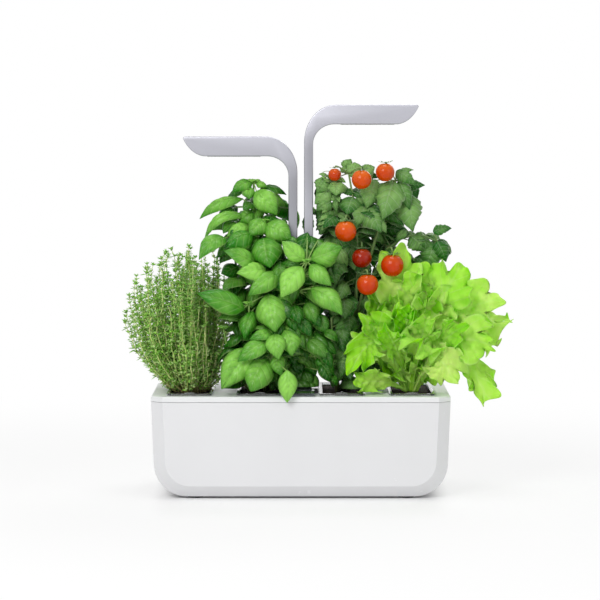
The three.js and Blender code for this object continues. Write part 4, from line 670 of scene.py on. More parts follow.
class Growth:
    # gathers the sheets and stalks of one plant and turns them into one piece
    def __init__(self, plant, seed):
        self.plant = plant
        self.chance = np.random.default_rng(seed)
        self.points, self.faces, self.spots, self.tints, self.kinds = [], [], [], [], []
        self.count = 0
        self.places = []

    def crowded(self, place, gap):
        if self.places and np.min(np.linalg.norm(np.array(self.places) - place, axis=1)) < gap:
            return True
        self.places.append(place)
        return False

    def keep(self, points, faces, spots, tint, kind):
        self.points.append(points)
        self.spots.append(spots)
        self.tints.append(tint)
        self.faces += [tuple(int(i) + self.count for i in f) for f in faces]
        self.kinds += [kind] * len(faces)
        self.count += len(points)

    def sheet(self, grid, thickness, tint):
        # a thin leaf with a top, an underside and an edge; grid is rows x columns x 3
        rows, columns = grid.shape[:2]
        size = rows * columns
        normal = unit(np.cross(np.gradient(grid, axis=1), np.gradient(grid, axis=0)))
        top = (grid + normal * thickness / 2).reshape(-1, 3)
        under = (grid - normal * thickness / 2).reshape(-1, 3)
        front, rim = gridFaces(rows, columns)
        after = np.roll(rim, -1)
        edge = np.stack([after, rim, rim + size, after + size], 1)
        v, u = np.meshgrid(np.linspace(0, 1, rows), np.linspace(0, 1, columns), indexing="ij")
        spots = np.stack([u.ravel(), v.ravel()], 1)
        shade = tinted(tint, 2 * size)
        shade[size:, 2] = 1.0
        self.keep(np.concatenate([top, under]), np.concatenate([front, front[:, ::-1] + size, edge]),
                  np.concatenate([spots, spots]), shade, 0)

    def stalk(self, line, radii, sides, tint):
        # a round stem along a list of points, with both ends closed
        line = np.asarray(line, float)
        radii = np.broadcast_to(np.asarray(radii, float), (len(line),))
        ahead = unit(np.gradient(line, axis=0))
        one = unit(np.cross(ahead, np.array([0.31, 0.92, 0.24])))
        two = np.cross(ahead, one)
        turn = np.linspace(0, 2 * math.pi, sides, endpoint=False)
        ring = one[:, None] * np.cos(turn)[None, :, None] + two[:, None] * np.sin(turn)[None, :, None]
        points = (line[:, None] + ring * radii[:, None, None]).reshape(-1, 3)
        faces = ringFaces(len(line), sides) + [tuple(range(sides))[::-1],
                                               tuple(range((len(line) - 1) * sides, len(line) * sides))]
        v = np.repeat(np.linspace(0, 1, len(line)), sides)
        u = np.tile(np.linspace(0, 1, sides), len(line))
        self.keep(points, faces, np.stack([u, v], 1), tinted(tint, len(points)), 1)

    def piece(self, name, materials):
        made = meshPiece(name, np.concatenate(self.points), self.faces, None, "deck")
        for material in materials:
            made.data.materials.append(material)
        made.data.polygons.foreach_set("material_index", self.kinds)
        corner = np.zeros(len(made.data.loops), np.int32)
        made.data.loops.foreach_get("vertex_index", corner)
        layer = made.data.uv_layers.new(name="blade")
        layer.data.foreach_set("uv", np.concatenate(self.spots)[corner].ravel())
        tints = made.data.color_attributes.new("tint", "FLOAT_COLOR", "POINT")
        tints.data.foreach_set("color", np.concatenate(self.tints).ravel())
        print(name, len(self.faces), "faces")
        return made


def facing(face):
    # 1 faces the front, 0 faces up
    return np.array([0.0, -face, 1 - abs(face)])


def kneeOf(base, tip, face, arch):
    # the middle of a leaf's arch, raised off its chord towards its upper face
    chord = tip - base
    normal = unit(np.cross(np.cross(chord, facing(face)), chord))
    return (base + tip) / 2 + normal * 2 * arch * np.linalg.norm(chord)


def bladeFrame(base, knee, tip, face, rows, twist=0.0):
    # centre line of a blade with its side and upper directions at each row
    centre = bezier(base, knee, tip, rows)
    ahead = unit(np.gradient(centre, axis=0))
    side = np.tile(unit(np.cross(tip - base, facing(face))), (rows, 1))
    up = unit(np.cross(side, ahead))
    side = unit(np.cross(ahead, up))
    turn = np.linspace(0, twist, rows)[:, None]
    return centre, side * np.cos(turn) + up * np.sin(turn), up * np.cos(turn) - side * np.sin(turn)


def nearestOn(stems, place):
    # the point of the stems that a leaf at this place grows from
    best, cost = None, 1e9
    for line in stems:
        for p in line:
            if p[2] < garden["soil"] + 0.004:
                continue
            c = np.linalg.norm(p - place) + max(p[2] - place[2], 0)
            if c < cost:
                best, cost = p, c
    return best


def petiole(growth, stems, base, end, radii, tint):
    # leaf stalk from the nearest stem, by the first way round that is free
    root = nearestOn(stems, base)
    for lift in (0.002, 0.012, 0.026):
        line = bezier(root, (root + base) / 2 + np.array([0, 0, lift]), end, 6)
        if clearOfGarden(line[1:]).all():
            growth.stalk(line, np.linspace(radii[0], radii[1], 6), 6, tint)
            return


def fillRows(growth, volumes):
    # leaves inside boxes: low and high corner, count, sizes, slimness and how far they hang; each gets a
    # random depth of painted shade
    chance, rows = growth.chance, []
    middle = garden[growth.plant][0]
    for low, high, count, (small, large), slim, hang in volumes:
        low, high = np.array(low, float) * mm, np.array(high, float) * mm
        for _ in range(count):
            base = low + (high - low) * chance.uniform(0, 1, 3)
            reach = chance.uniform(small, large) * mm
            if growth.crowded(base, reach * 0.24):
                continue
            lean = float(np.clip((base[0] - middle) / garden["half"] + chance.uniform(-0.55, 0.55), -1, 1))
            hand = -1 if base[1] < 0.012 else 1
            way = np.array([lean, hand * 0.7 * math.sqrt(1 - lean ** 2 * 0.96), -chance.uniform(*hang)])
            face = chance.uniform(0.75, 0.95) if hang[0] > 1 else chance.uniform(0.3, 0.85)
            rows.append((base, base + unit(way) * reach, reach * slim * chance.uniform(0.85, 1.15),
                         -hand * face, chance.uniform(0.06, 0.2), chance.uniform(0.35, 1.0)))
    return rows


def growStems(growth, table, count, radii, own):
    # the plant's stems, from the soil up
    stems = [bezier(*(onPlant(growth.plant, p) for p in row), count) for row in table]
    for line in stems:
        line[0, 2] = garden["soil"] - garden["root"]
        growth.stalk(line, np.linspace(*radii, len(line)), 9, (growth.chance.uniform(*own), 0))
    return stems


def ovalBlade(growth, look, base, tip, width, face, arch, tint, fine=True, spare=()):
    # pointed blade, puffed up on both sides of its midrib, with a quilt between its side veins
    chance = growth.chance
    rows, columns = (look["rows"][0], 13) if fine else (look["rows"][1], 9)
    v = np.linspace(0, 1, rows)
    u = np.linspace(-1, 1, columns)
    outline = np.interp(v, *look["outline"])[:, None]
    swell = np.sin(v * math.pi)
    across = u[None]
    if look["toothed"]:
        teeth = [1 + 0.07 * np.cos(v * 2 * math.pi * 4.6 + s) * swell
                 + 0.035 * np.cos(v * 2 * math.pi * 9.0 + s) for s in chance.uniform(0, 6, 2)]
        across = u * np.where(u < 0, teeth[0][:, None], teeth[1][:, None])
    droop, puff = chance.uniform(*look["droop"]), chance.uniform(*look["puff"])
    twist = chance.uniform(-look["twist"], look["twist"])
    wave, bend = (chance.uniform(0, 6, 2)[0], 0) if look["toothed"] else (0, chance.uniform(-0.1, 0.1))
    phase = v[:, None] * look["veins"] - abs(u) * look["slant"]
    quilt = abs(np.sin((phase - 0.5) * math.pi)) * (1 - look["quiltFade"] * u ** 4) * swell[:, None]
    curl = np.sin(v * 11 + wave)[:, None] * np.where(u < 0, 1, -1) * u ** 2
    for share in (1, 0.86, 0.72, 0.58):
        # where the blade would meet something, a shorter one is tried
        end = base + (tip - base) * share
        centre, side, up = bladeFrame(base, kneeOf(base, end, face, arch), end, face, rows, twist)
        centre = centre + side * (swell * bend * width)[:, None]
        half = outline * width * share / 2
        relief = (-droop * u ** 2 * half + look["quilt"] * quilt * width + look["curl"] * curl * half
                  + puff * np.sin(abs(u) * math.pi) ** 0.8 * half)
        grid = centre[:, None] + side[:, None] * (half * across)[..., None]
        grid = restOnDeck(grid + up[:, None] * relief[..., None])
        if isFree(growth.plant, grid, spare):
            growth.sheet(grid, look["thickness"], tint)
            return centre
    return None


def tintShares(finish):
    # a blade's own green, which for some plants also carries painted light, its depth of painted shade, and 1
    # on its underside
    tint = finish.add("ShaderNodeAttribute", {"attribute_name": "tint"}, None, "Color")
    return finish.add("ShaderNodeSeparateColor", None, {0: tint}, ("Red", "Green", "Blue"))


def leafFinish(name, look):
    # living leaf: side veins, a pale rim that is a painted highlight, mottled green with a painted highlight
    # across the middle of each blade and painted shade deep in the bush, paler underside and light through
    # the blade
    finish = Finish(name)
    spot = finish.add("ShaderNodeUVMap", {"uv_map": "blade"})
    sideways, along = finish.add("ShaderNodeSeparateXYZ", None, {0: spot}, ("X", "Y"))
    across = (sideways * 2 - 1).absolute()
    own, deep, under = tintShares(finish)
    mottle = finish.noise(look["mottle"], 3)
    fine = finish.noise(1.2, 3, 0.6)
    phase = (along * look["veins"] - across * look["slant"]).fraction()
    line = 1 - (phase - 0.5).absolute().ramp(0.0, look["veinWidth"])
    rib = 1 - (across * (0.5 + along)).ramp(0.0, look["ribWidth"])
    vein = line.most(rib)
    # painted highlight: a pale rim along the edge
    rim = across.ramp(0.86, 1.0)
    # painted highlight: paler across the middle of the blade, darker towards its base, tip and edges
    swell = 1 - ((along - 0.45).absolute() * 1.7 + across * 0.35)
    # own carries random tone and, for basil and lettuce, painted light
    lit = own * 0.7 + mottle * 0.5 + swell * 0.35 - 0.3
    green = finish.mix(lit.ramp(0.0, 1.0), look["dark"], look["light"])
    # painted shade: leaves set back in the bush take the deep colour
    for share, colour in ((deep * look["paintedShadeShare"], "deep"), (vein * look["veinShare"], "vein"),
                          (rim * look["rimHighlightShare"], "vein"), (under * 0.45, "under")):
        green = finish.mix(share, green, look[colour])
    height = (1 - vein) * 0.7 + fine * 0.3
    leaf = finish.surface(color=green, rough=look["rough"] + fine * 0.12,
                          normal=finish.bump(height, look["relief"]),
                          coat=look["coat"], coatRough=0.24, shine=look["shine"])
    through = finish.add("ShaderNodeBsdfTranslucent", None, {"Color": look["through"]})
    return finish.show(finish.add("ShaderNodeMixShader", None,
                                  {0: look["throughShare"], 1: leaf, 2: through}))


def stemFinish(name, look):
    # stem: fibres along it, darker towards the soil
    finish = Finish(name)
    own = tintShares(finish)[0]
    fibre = finish.noise(1.4, 4, 0.7)
    low = 1 - finish.height().ramp(0.118, look["browningTop"])
    green = finish.mix((own * 0.6 + fibre * 0.5).ramp(0.1, 1.0), look["dark"], look["light"])
    green = finish.mix(low * 0.8, green, look["brown"])
    return finish.show(finish.surface(color=green, rough=0.55, normal=finish.bump(fibre, 0.15)))


basilLook = {"dark": tone(38, 130, 4), "light": tone(166, 232, 98), "deep": tone(4, 82, 0),
             "vein": tone(192, 238, 136), "under": tone(124, 190, 90), "through": tone(110, 236, 4),
             "veins": 5.0, "slant": 1.5, "veinWidth": 0.13, "ribWidth": 0.09, "veinShare": 0.26,
             "rimHighlightShare": 0.4, "mottle": 9, "rough": 0.38, "coat": 0.4, "shine": 0.12, "throughShare": 0.2,
             "relief": 0.5, "paintedShadeShare": 0.9, "thickness": 0.0004, "seed": 11,
             "rows": (27, 15), "droop": (0.1, 0.7), "puff": (0.16, 0.34), "twist": 0.4, "toothed": False,
             "quilt": 0.075, "quiltFade": 1.0, "curl": 0.0,
             "outline": ([0, 0.06, 0.16, 0.3, 0.45, 0.62, 0.78, 0.9, 0.97, 1],
                         [0.05, 0.36, 0.74, 0.96, 1.0, 0.9, 0.62, 0.31, 0.11, 0.015]),
             "stem": {"dark": tone(92, 142, 52), "light": tone(158, 196, 104),
                      "brown": tone(110, 120, 60), "browningTop": 0.16}}
basilStems = [
    [[-0.02, 0.03, 0], [-0.04, 0.03, 0.5], [-0.03, 0, 0.985]],
    [[0.03, -0.02, 0], [0.13, -0.12, 0.35], [0.22, -0.22, 0.62]],
    [[0.02, -0.04, 0], [0.06, -0.12, 0.15], [0.075, -0.24, 0.31]],
    [[-0.04, 0.02, 0], [-0.09, 0.06, 0.4], [-0.13, -0.03, 0.72]],
    [[0.02, 0.02, 0], [0.03, 0, 0.4], [0.03, -0.07, 0.8]],
    [[-0.03, -0.03, 0], [-0.05, -0.08, 0.2], [-0.05, -0.19, 0.42]],
    [[0.04, -0.03, 0], [0.2, -0.09, 0.1], [0.27, -0.125, 0.3]],
    [[-0.04, -0.03, 0], [-0.14, -0.08, 0.1], [-0.17, -0.12, 0.3]],
]
# base, tip, width, face (1 faces the front, 0 faces up) and arch
basilLeaves = [
    [[-0.035, 0, 0.985], [-0.13, -0.04, 0.94], 0.07, 0.35, 0.2],
    [[-0.02, 0, 0.985], [0.075, -0.03, 0.945], 0.07, 0.35, 0.2],
    [[-0.05, -0.02, 0.965], [-0.05, -0.06, 0.91], 0.06, 0.8, 0.1],
    [[-0.02, -0.02, 0.945], [0.08, -0.08, 0.835], 0.11, 0.6, 0.18],
    [[-0.08, 0, 0.91], [-0.285, -0.02, 0.815], 0.07, 0.3, 0.16],
    [[0, 0.04, 0.93], [0.12, 0.05, 0.87], 0.09, 0.4, 0.15],
    [[-0.064, 0, 0.823], [-0.262, -0.03, 0.715], 0.07, 0.35, 0.3],
    [[0.043, 0.2, 0.896], [0.148, 0.22, 0.781], 0.11, 0.5, 0.18],
    [[0.16, 0.225, 0.86], [0.163, 0.24, 0.735], 0.045, 0.85, 0.08],
    [[0.02, -0.07, 0.815], [-0.05, -0.13, 0.74], 0.09, 0.7, 0.15],
    [[-0.03, -0.02, 0.85], [-0.1, -0.02, 0.79], 0.09, 0.5, 0.15],
    [[-0.05, -0.05, 0.78], [-0.155, -0.1, 0.735], 0.09, 0.4, 0.2],
    [[0.025, -0.08, 0.79], [0.15, -0.12, 0.72], 0.12, 0.6, 0.14],
    [[-0.16, -0.15, 0.73], [-0.28, -0.26, 0.635], 0.1, 0.5, 0.2],
    [[-0.03, -0.1, 0.745], [-0.165, -0.18, 0.685], 0.11, 0.5, 0.16],
    [[-0.02, -0.16, 0.61], [-0.165, -0.23, 0.675], 0.1, 0.6, 0.12],
    [[0.02, -0.14, 0.73], [0.05, -0.22, 0.595], 0.145, 0.85, 0.12],
    [[0.03, -0.17, 0.58], [-0.105, -0.24, 0.57], 0.1, 0.6, 0.14],
    [[0.21, -0.22, 0.63], [0.105, -0.25, 0.72], 0.08, 0.8, 0.08],
    [[0.24, -0.23, 0.635], [0.385, -0.27, 0.695], 0.11, 0.75, 0.1],
    [[0.235, -0.23, 0.61], [0.335, -0.29, 0.515], 0.085, 0.7, 0.16],
    [[0.2, -0.23, 0.6], [0.1, -0.3, 0.462], 0.11, 0.8, 0.14],
    [[0.24, -0.24, 0.5], [0.385, -0.3, 0.38], 0.1, 0.6, 0.18],
    [[-0.07, -0.22, 0.4], [-0.285, -0.29, 0.48], 0.11, 0.65, 0.14],
    [[0.09, -0.18, 0.565], [-0.05, -0.25, 0.466], 0.1, 0.6, 0.16],
    [[0.04, -0.2, 0.475], [0.073, -0.29, 0.3], 0.15, 0.85, 0.12],
    [[-0.03, -0.19, 0.39], [-0.068, -0.25, 0.265], 0.08, 0.7, 0.1],
    [[0.06, -0.24, 0.29], [-0.045, -0.29, 0.265], 0.07, 0.5, 0.16],
    [[0.04, -0.26, 0.26], [-0.1, -0.32, 0.165], 0.09, 0.6, 0.16],
    [[0.075, -0.26, 0.29], [0.09, -0.33, 0.175], 0.09, 0.8, 0.2],
    [[0.115, -0.24, 0.305], [0.165, -0.31, 0.142], 0.13, 0.8, 0.14],
    [[0.1, -0.2, 0.315], [0.205, -0.2, 0.335], 0.07, 0.5, 0.1],
    [[-0.045, -0.22, 0.22], [-0.175, -0.29, 0.035], 0.13, 0.8, 0.12],
    [[0.035, -0.24, 0.17], [-0.04, -0.31, 0.022], 0.14, 0.85, 0.1],
    [[0.09, -0.24, 0.19], [0.108, -0.31, 0.03], 0.12, 0.85, 0.1],
    [[0.13, -0.365, 0.13], [0.13, -0.375, -0.02], 0.085, 0.9, 0.06],
    [[0.22, -0.17, 0.24], [0.32, -0.24, 0.2], 0.06, 0.5, 0.12],
]
# two leaves with painted shade in front of the posts
basilPostLeaves = [
    [[0.225, -0.12, 0.755], [0.18, -0.15, 0.65]],
    [[0.22, -0.11, 0.74], [0.27, -0.15, 0.65]],
]
# boxes in millimetres that leaves with painted shade fill: low, high, count, sizes, slimness and hang
basilFill = [
    ((-110, -24, 150), (-24, 44, 300), 180, (26, 42), 0.62, (0.1, 1.1)),
    ((-92, -26, 124), (-16, 40, 190), 90, (26, 40), 0.62, (0.1, 1.0)),
    ((-86, -12, 285), (-16, 36, 335), 46, (22, 36), 0.6, (0.1, 0.9)),
    ((-28, -46, 160), (26, -27, 282), 110, (22, 36), 0.68, (0.7, 2.6)),
    ((-16, -42, 268), (24, -25, 298), 24, (18, 26), 0.7, (1.2, 3.0)),
    ((-28, -38, 130), (14, -24, 172), 60, (17, 26), 0.7, (1.2, 3.0)),
    ((8, -60, 140), (32, -34, 196), 44, (20, 34), 0.68, (0.7, 2.6)),
    ((-40, -60, 165), (22, -44, 235), 26, (20, 30), 0.66, (0.4, 1.6)),
]


def makeBasil():
    growth = Growth("basil", basilLook["seed"])
    chance, height = growth.chance, garden["basil"][1]
    stems = growStems(growth, basilStems, 9, (0.0024, 0.0011), (0.3, 0.9))
    rows = [(onPlant("basil", base), onPlant("basil", tip), width * height * 1.06, face, arch, 0.0)
            for base, tip, width, face, arch in basilLeaves]
    # pairs of leaves round each stem, turned a quarter at each joint, to fill the bush behind, with painted
    # shade
    for s, line in enumerate(stems):
        for n, t in enumerate(np.linspace(0.2, 0.97, 11)):
            at = pointAt(line, t * (len(line) - 1))
            for hand in (0, 1):
                turn = s * 0.7 + n * math.pi / 2 + hand * math.pi + chance.uniform(-0.3, 0.3)
                way = np.array([math.cos(turn), math.sin(turn) + 0.45, 0])
                if way[1] < 0.05:
                    way[1] = 0.05 + chance.uniform(0, 0.3)
                way = unit(way)
                reach = chance.uniform(0.026, 0.046) * (1 - 0.25 * t)
                drop = reach * chance.uniform(-0.15, 0.75)
                base = at + way * reach * 0.25
                tip = base + way * reach - np.array([0, 0, drop])
                rows.append((base, tip, reach * chance.uniform(0.55, 0.72), chance.uniform(0, 0.35),
                             chance.uniform(0.08, 0.2), chance.uniform(0.35, 1.0)))
    rows += fillRows(growth, basilFill)
    # painted shade of 0.8 on the leaves in front of the posts
    rows += [(onPlant("basil", base), onPlant("basil", tip), 0.021, 0.85, 0.12, 0.8)
             for base, tip in basilPostLeaves]
    refused = 0
    for base, tip, width, face, arch, deep in rows:
        # painted light: the lower leaves and those in front of the posts are made the palest
        low = 0.45 * max(0, 1 - (base[2] - garden["soil"]) / 0.08)
        low += 0.5 * (base[0] > -0.04 and 0.225 < base[2] < 0.3)
        own = min(1, chance.uniform(0.0, 0.72) + low) if deep == 0 else chance.uniform(0.0, 0.7)
        centre = ovalBlade(growth, basilLook, base, tip, width, face, arch, (own, deep), deep == 0)
        if centre is None:
            refused += 1
            continue
        petiole(growth, stems, base, centre[1], (0.0008, 0.0006), (0.9, 0))
    # young leaves at the tips of the shoots
    for line in stems:
        for k in range(4):
            turn = k * math.pi / 2 + 0.4
            way = unit(np.array([math.cos(turn), math.sin(turn), 0.35]))
            ovalBlade(growth, basilLook, line[-1], line[-1] + way * 0.009, 0.0055, 0.2, 0.2, (0.95, 0))
    print("basil leaves", len(rows) - refused, "of", len(rows))
    piece = growth.piece("basilBush", [leafFinish("basilLeaf", basilLook),
                                       stemFinish("basilStem", basilLook["stem"])])
    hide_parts("basil_plant")


makeBasil()
print("basil made")


thymeLook = {"stems": 160, "reach": (0.0705, 0.046), "dome": (0.08, 0.086), "spread": (0.018, 0.026),
             "pull": (0.74, 0.74, 0.3), "points": 26, "kink": 0.0011, "joint": 0.0062, "leaf": 0.0072,
             "soilLine": 0.126, "seed": 5, "dark": tone(196, 252, 108), "light": tone(242, 255, 192),
             "deep": tone(112, 182, 68), "vein": tone(200, 224, 150), "under": tone(176, 206, 126),
             "through": tone(170, 236, 70), "veins": 1.0, "slant": 0.0, "veinWidth": 0.13,
             "ribWidth": 0.09, "veinShare": 0.15, "rimHighlightShare": 0.3, "rough": 0.5, "coat": 0.0,
             "shine": 0.15, "throughShare": 0.38, "paintedShadeShare": 0.5, "relief": 0.1, "mottle": 22,
             "stem": {"dark": tone(186, 206, 104), "light": tone(238, 244, 170),
                      "brown": tone(150, 128, 84), "browningTop": 0.128}}


def thymeLeaf(growth, base, way, up, size, tint):
    # tiny pointed oval, hollowed a little along its middle
    side = unit(np.cross(way, up))
    along = np.array([0.0, 0.32, 0.7, 1.0, 0.7, 0.32, 0.5, 0.5])
    across = np.array([0.0, 0.24, 0.17, 0.0, -0.17, -0.24, 0.0, 0.0])
    rise = np.array([0.0, 0.05, -0.02, -0.12, -0.02, 0.05, -0.04, -0.09])
    points = base + size * (way * along[:, None] + side * across[:, None] + up * rise[:, None])
    faces = [(k, (k + 1) % 6, 6) for k in range(6)] + [((k + 1) % 6, k, 7) for k in range(6)]
    growth.keep(points, faces, np.stack([across * 2 + 0.5, along], 1), tinted(tint, 8), 0)


def thymeLine(chance, out, turn):
    # one stem, leaning out with small kinks, as far up as it is free
    x, count = garden["thyme"][0], thymeLook["points"]
    right, rear = out * math.cos(turn), out * math.sin(turn)
    (spreadX, spreadY), (reachX, reachY) = thymeLook["spread"], thymeLook["reach"]
    foot = np.array([x + right * spreadX, garden["middle"] + rear * spreadY, garden["soil"] - garden["root"]])
    free = border("thyme", garden["middle"] + rear * reachY) - x
    wide = right * (min(reachX, free) if right > 0 else reachX)
    low, high = thymeLook["dome"]
    tall = low + high * math.sqrt(1 - out ** 2) * chance.uniform(0.86, 1.06)
    reach = np.array([wide - right * spreadX * 0.5, rear * reachY, tall * chance.uniform(0.8, 1.03)])
    line = bezier(foot, foot + reach * np.array(thymeLook["pull"]), foot + reach, count)
    kink = np.cumsum(chance.normal(0, thymeLook["kink"], (count, 3)), axis=0)
    kink = (kink + np.roll(kink, 1, 0) + np.roll(kink, -1, 0)) / 3
    line += kink * smoothStep(np.linspace(0, 1, count), 0.02, 0.3)[:, None] * np.array([1, 1, 0.2])
    good = clearOfGarden(line) & ownGround("thyme", line) | (line[:, 2] < thymeLook["soilLine"])
    return line if good.all() else line[:int(np.argmin(good))]


def thymeTufts(growth, line, behind):
    # leaves up one stem, each pair a quarter turn on, and a small tuft at the tip; painted shade grows
    # towards the tip, on the tallest stems and on stems behind
    chance, last = growth.chance, len(line)
    steps = np.concatenate([[0], np.cumsum(np.linalg.norm(np.diff(line, axis=0), axis=1))])
    total = steps[-1]
    where = chance.uniform(0.004, 0.022)
    joint = 0
    old = chance.uniform(0, 1)
    while where < total:
        share = where / total
        at = pointAt(line, where, steps)
        below = int(share * (last - 1))
        ahead = unit(line[min(below + 1, last - 1)] - line[below] + 1e-9)
        one = unit(np.cross(ahead, np.array([0.3, 0.9, 0.2])))
        two = np.cross(ahead, one)
        spin = joint * math.pi / 2 + old * 6
        size = thymeLook["leaf"] * (0.8 + 0.4 * math.sin(share * math.pi)) * chance.uniform(0.75, 1.2)
        # painted shade: darker towards the tip, on the tallest stems and on stems behind
        shade = np.clip(share * 3 - 2.2 + (0.25 if line[-1, 2] > 0.25 else 0) + behind, 0, 1)
        for k in range(2 + int(chance.integers(2, 7))):
            # a pair of grown leaves, and the young ones of the side shoot above it
            young = k > 1
            a = spin + k * math.pi * (1 if k < 2 else 0.42) + chance.uniform(-0.35, 0.35)
            aside = one * math.cos(a) + two * math.sin(a)
            way = unit(aside + ahead * (chance.uniform(0.4, 2.2) if young else chance.uniform(0.1, 0.8)))
            up = unit(ahead - way * np.dot(ahead, way))
            grow = size * (chance.uniform(0.45, 0.85) if young else 1)
            root = at + (ahead * chance.uniform(0, 0.0022) + aside * 0.0007) * young
            if isFree("thyme", (root + way * grow)[None]):
                thymeLeaf(growth, root, way, up, grow, (chance.uniform(0, 1), shade * chance.uniform(0.3, 1)))
        where += thymeLook["joint"] * chance.uniform(0.7, 1.3)
        joint += 1
    # the tip's tuft has painted shade of 0.8
    for k in range(5):
        a = k * 1.26
        way = unit(one * math.cos(a) + two * math.sin(a) + ahead * 1.2)
        up = unit(ahead - way * np.dot(ahead, way) + 1e-6)
        thymeLeaf(growth, line[-1], way, up, thymeLook["leaf"] * 0.7, (chance.uniform(0, 1), 0.8))


def makeThyme():
    growth = Growth("thyme", thymeLook["seed"])
    chance = growth.chance
    golden = math.pi * (3 - math.sqrt(5))
    for s in range(thymeLook["stems"]):
        out, turn = math.sqrt((s + 0.5) / thymeLook["stems"]), s * golden
        line = thymeLine(chance, out, turn)
        if len(line) < 8:
            continue
        growth.stalk(line, np.linspace(0.0009, 0.0004, len(line)), 5, (chance.uniform(0.2, 1), 0))
        # stems behind get painted shade
        thymeTufts(growth, line, 0.55 * (math.sin(turn) * out > 0.1))
    piece = growth.piece("thymeBush", [leafFinish("thymeLeaf", thymeLook),
                                       stemFinish("thymeStem", thymeLook["stem"])])
    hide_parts("thyme_plant")


makeThyme()
print("thyme made")


tomatoLook = {"dark": tone(36, 108, 26), "light": tone(158, 206, 116), "deep": tone(8, 78, 2),
              "vein": tone(186, 214, 166), "under": tone(118, 158, 108), "through": tone(70, 196, 10),
              "veins": 6.0, "slant": 1.2, "veinWidth": 0.13, "ribWidth": 0.09, "veinShare": 0.34,
              "rimHighlightShare": 0.7, "mottle": 9, "rough": 0.46, "shine": 0.2, "coat": 0.15,
              "throughShare": 0.26, "relief": 0.3, "paintedShadeShare": 0.7, "thickness": 0.00035, "seed": 23,
              "rows": (27, 19), "droop": (0.1, 0.9), "puff": (0.1, 0.3), "twist": 0.6, "toothed": True,
              "quilt": 0.05, "quiltFade": 0.6, "curl": 0.14,
              "outline": ([0, 0.05, 0.14, 0.28, 0.45, 0.64, 0.82, 0.94, 1],
                          [0.1, 0.56, 0.88, 1.0, 0.95, 0.74, 0.42, 0.15, 0.02]),
              "stem": {"dark": tone(70, 110, 52), "light": tone(140, 166, 96),
                       "brown": tone(96, 98, 58), "browningTop": 0.15}}
fruitLook = {"radius": 0.0114, "orange": tone(214, 78, 0), "red": tone(196, 42, 0),
             "deepRed": tone(156, 28, 2), "shoulder": tone(246, 140, 30), "rough": 0.12}
tomatoStems = [
    [[0, 0, 0], [0.12, 0, 0.5], [0.03, -0.03, 0.93]],
    [[0.02, 0.03, 0], [0.1, 0.02, 0.6], [0.23, -0.05, 0.9]],
    [[-0.02, 0.02, 0], [0.02, 0.02, 0.55], [-0.07, 0, 0.89]],
    [[0.03, 0, 0], [0.12, 0.05, 0.8], [0.41, 0.02, 0.64]],
    [[-0.02, -0.03, 0], [-0.03, -0.12, 0.2], [-0.04, -0.16, 0.12]],
    [[-0.01, -0.02, 0], [-0.04, -0.12, 0.12], [-0.045, -0.13, 0.32]],
]
tomatoLeaves = [
    [[-0.073, -0.05, 0.91], [-0.1, -0.055, 0.856], 0.06, 0.6, 0.1],
    [[-0.019, -0.05, 0.896], [-0.024, -0.08, 0.847], 0.06, 0.8, 0.1],
    [[-0.045, -0.05, 0.82], [-0.108, -0.054, 0.85], 0.05, 0.7, 0.06],
    [[-0.045, -0.05, 0.81], [-0.108, -0.054, 0.775], 0.05, 0.7, 0.06],
    [[-0.05, -0.05, 0.86], [-0.105, -0.054, 0.81], 0.05, 0.8, 0.06],
    [[0.046, -0.04, 0.83], [0.024, -0.09, 0.77], 0.08, 0.8, 0.1],
    [[0.02, -0.02, 0.938], [0.08, -0.02, 0.955], 0.05, 0.6, 0.15],
    [[0.016, 0, 0.95], [0.037, 0.01, 0.985], 0.04, 0.7, 0.1],
    [[0.093, 0, 0.94], [0.135, 0.02, 0.955], 0.06, 0.6, 0.1],
    [[0.145, -0.02, 0.905], [0.112, -0.06, 0.802], 0.075, 0.8, 0.1],
    [[0.22, -0.05, 0.9], [0.178, -0.1, 0.761], 0.09, 0.75, 0.14],
    [[0.244, -0.04, 0.9], [0.282, -0.05, 0.796], 0.05, 0.7, 0.16],
    [[0.28, -0.01, 0.84], [0.301, -0.04, 0.707], 0.085, 0.75, 0.14],
    [[0.108, -0.05, 0.785], [0.158, -0.12, 0.7], 0.08, 0.75, 0.12],
    [[0.098, -0.05, 0.79], [0.067, -0.1, 0.723], 0.06, 0.75, 0.12],
    [[0.14, -0.11, 0.715], [0.075, -0.18, 0.65], 0.1, 0.8, 0.14],
    [[0.282, -0.06, 0.706], [0.195, -0.13, 0.652], 0.09, 0.7, 0.14],
    [[0.3, 0.03, 0.66], [0.385, 0.04, 0.567], 0.11, 0.7, 0.14],
    [[0.41, 0.02, 0.64], [0.467, 0.03, 0.51], 0.09, 0.7, 0.14],
    [[0.4, 0.03, 0.63], [0.368, 0.04, 0.53], 0.07, 0.7, 0.12],
    [[-0.03, -0.06, 0.66], [-0.12, -0.13, 0.63], 0.09, 0.5, 0.12],
    [[-0.027, -0.04, 0.75], [-0.079, -0.08, 0.7], 0.07, 0.6, 0.12],
    [[-0.02, -0.07, 0.375], [-0.09, -0.13, 0.31], 0.09, 0.7, 0.14],
    [[0.007, -0.06, 0.26], [-0.066, -0.12, 0.216], 0.075, 0.6, 0.14],
    [[0.059, -0.05, 0.31], [-0.014, -0.12, 0.28], 0.065, 0.6, 0.14],
    [[-0.04, -0.16, 0.095], [-0.055, -0.2, 0.04], 0.07, 0.85, 0.1],
    [[-0.01, -0.13, 0.12], [-0.005, -0.2, 0.055], 0.085, 0.8, 0.12],
    [[0.2, -0.05, 0.42], [0.15, -0.12, 0.366], 0.08, 0.7, 0.14],
    [[0.02, -0.07, 0.6], [-0.057, -0.12, 0.551], 0.1, 0.7, 0.14],
    [[0, -0.08, 0.56], [-0.04, -0.13, 0.49], 0.08, 0.8, 0.1],
    [[-0.142, 0.196, 0.746], [-0.142, 0.2, 0.65], 0.035, 0.8, 0.1],
]
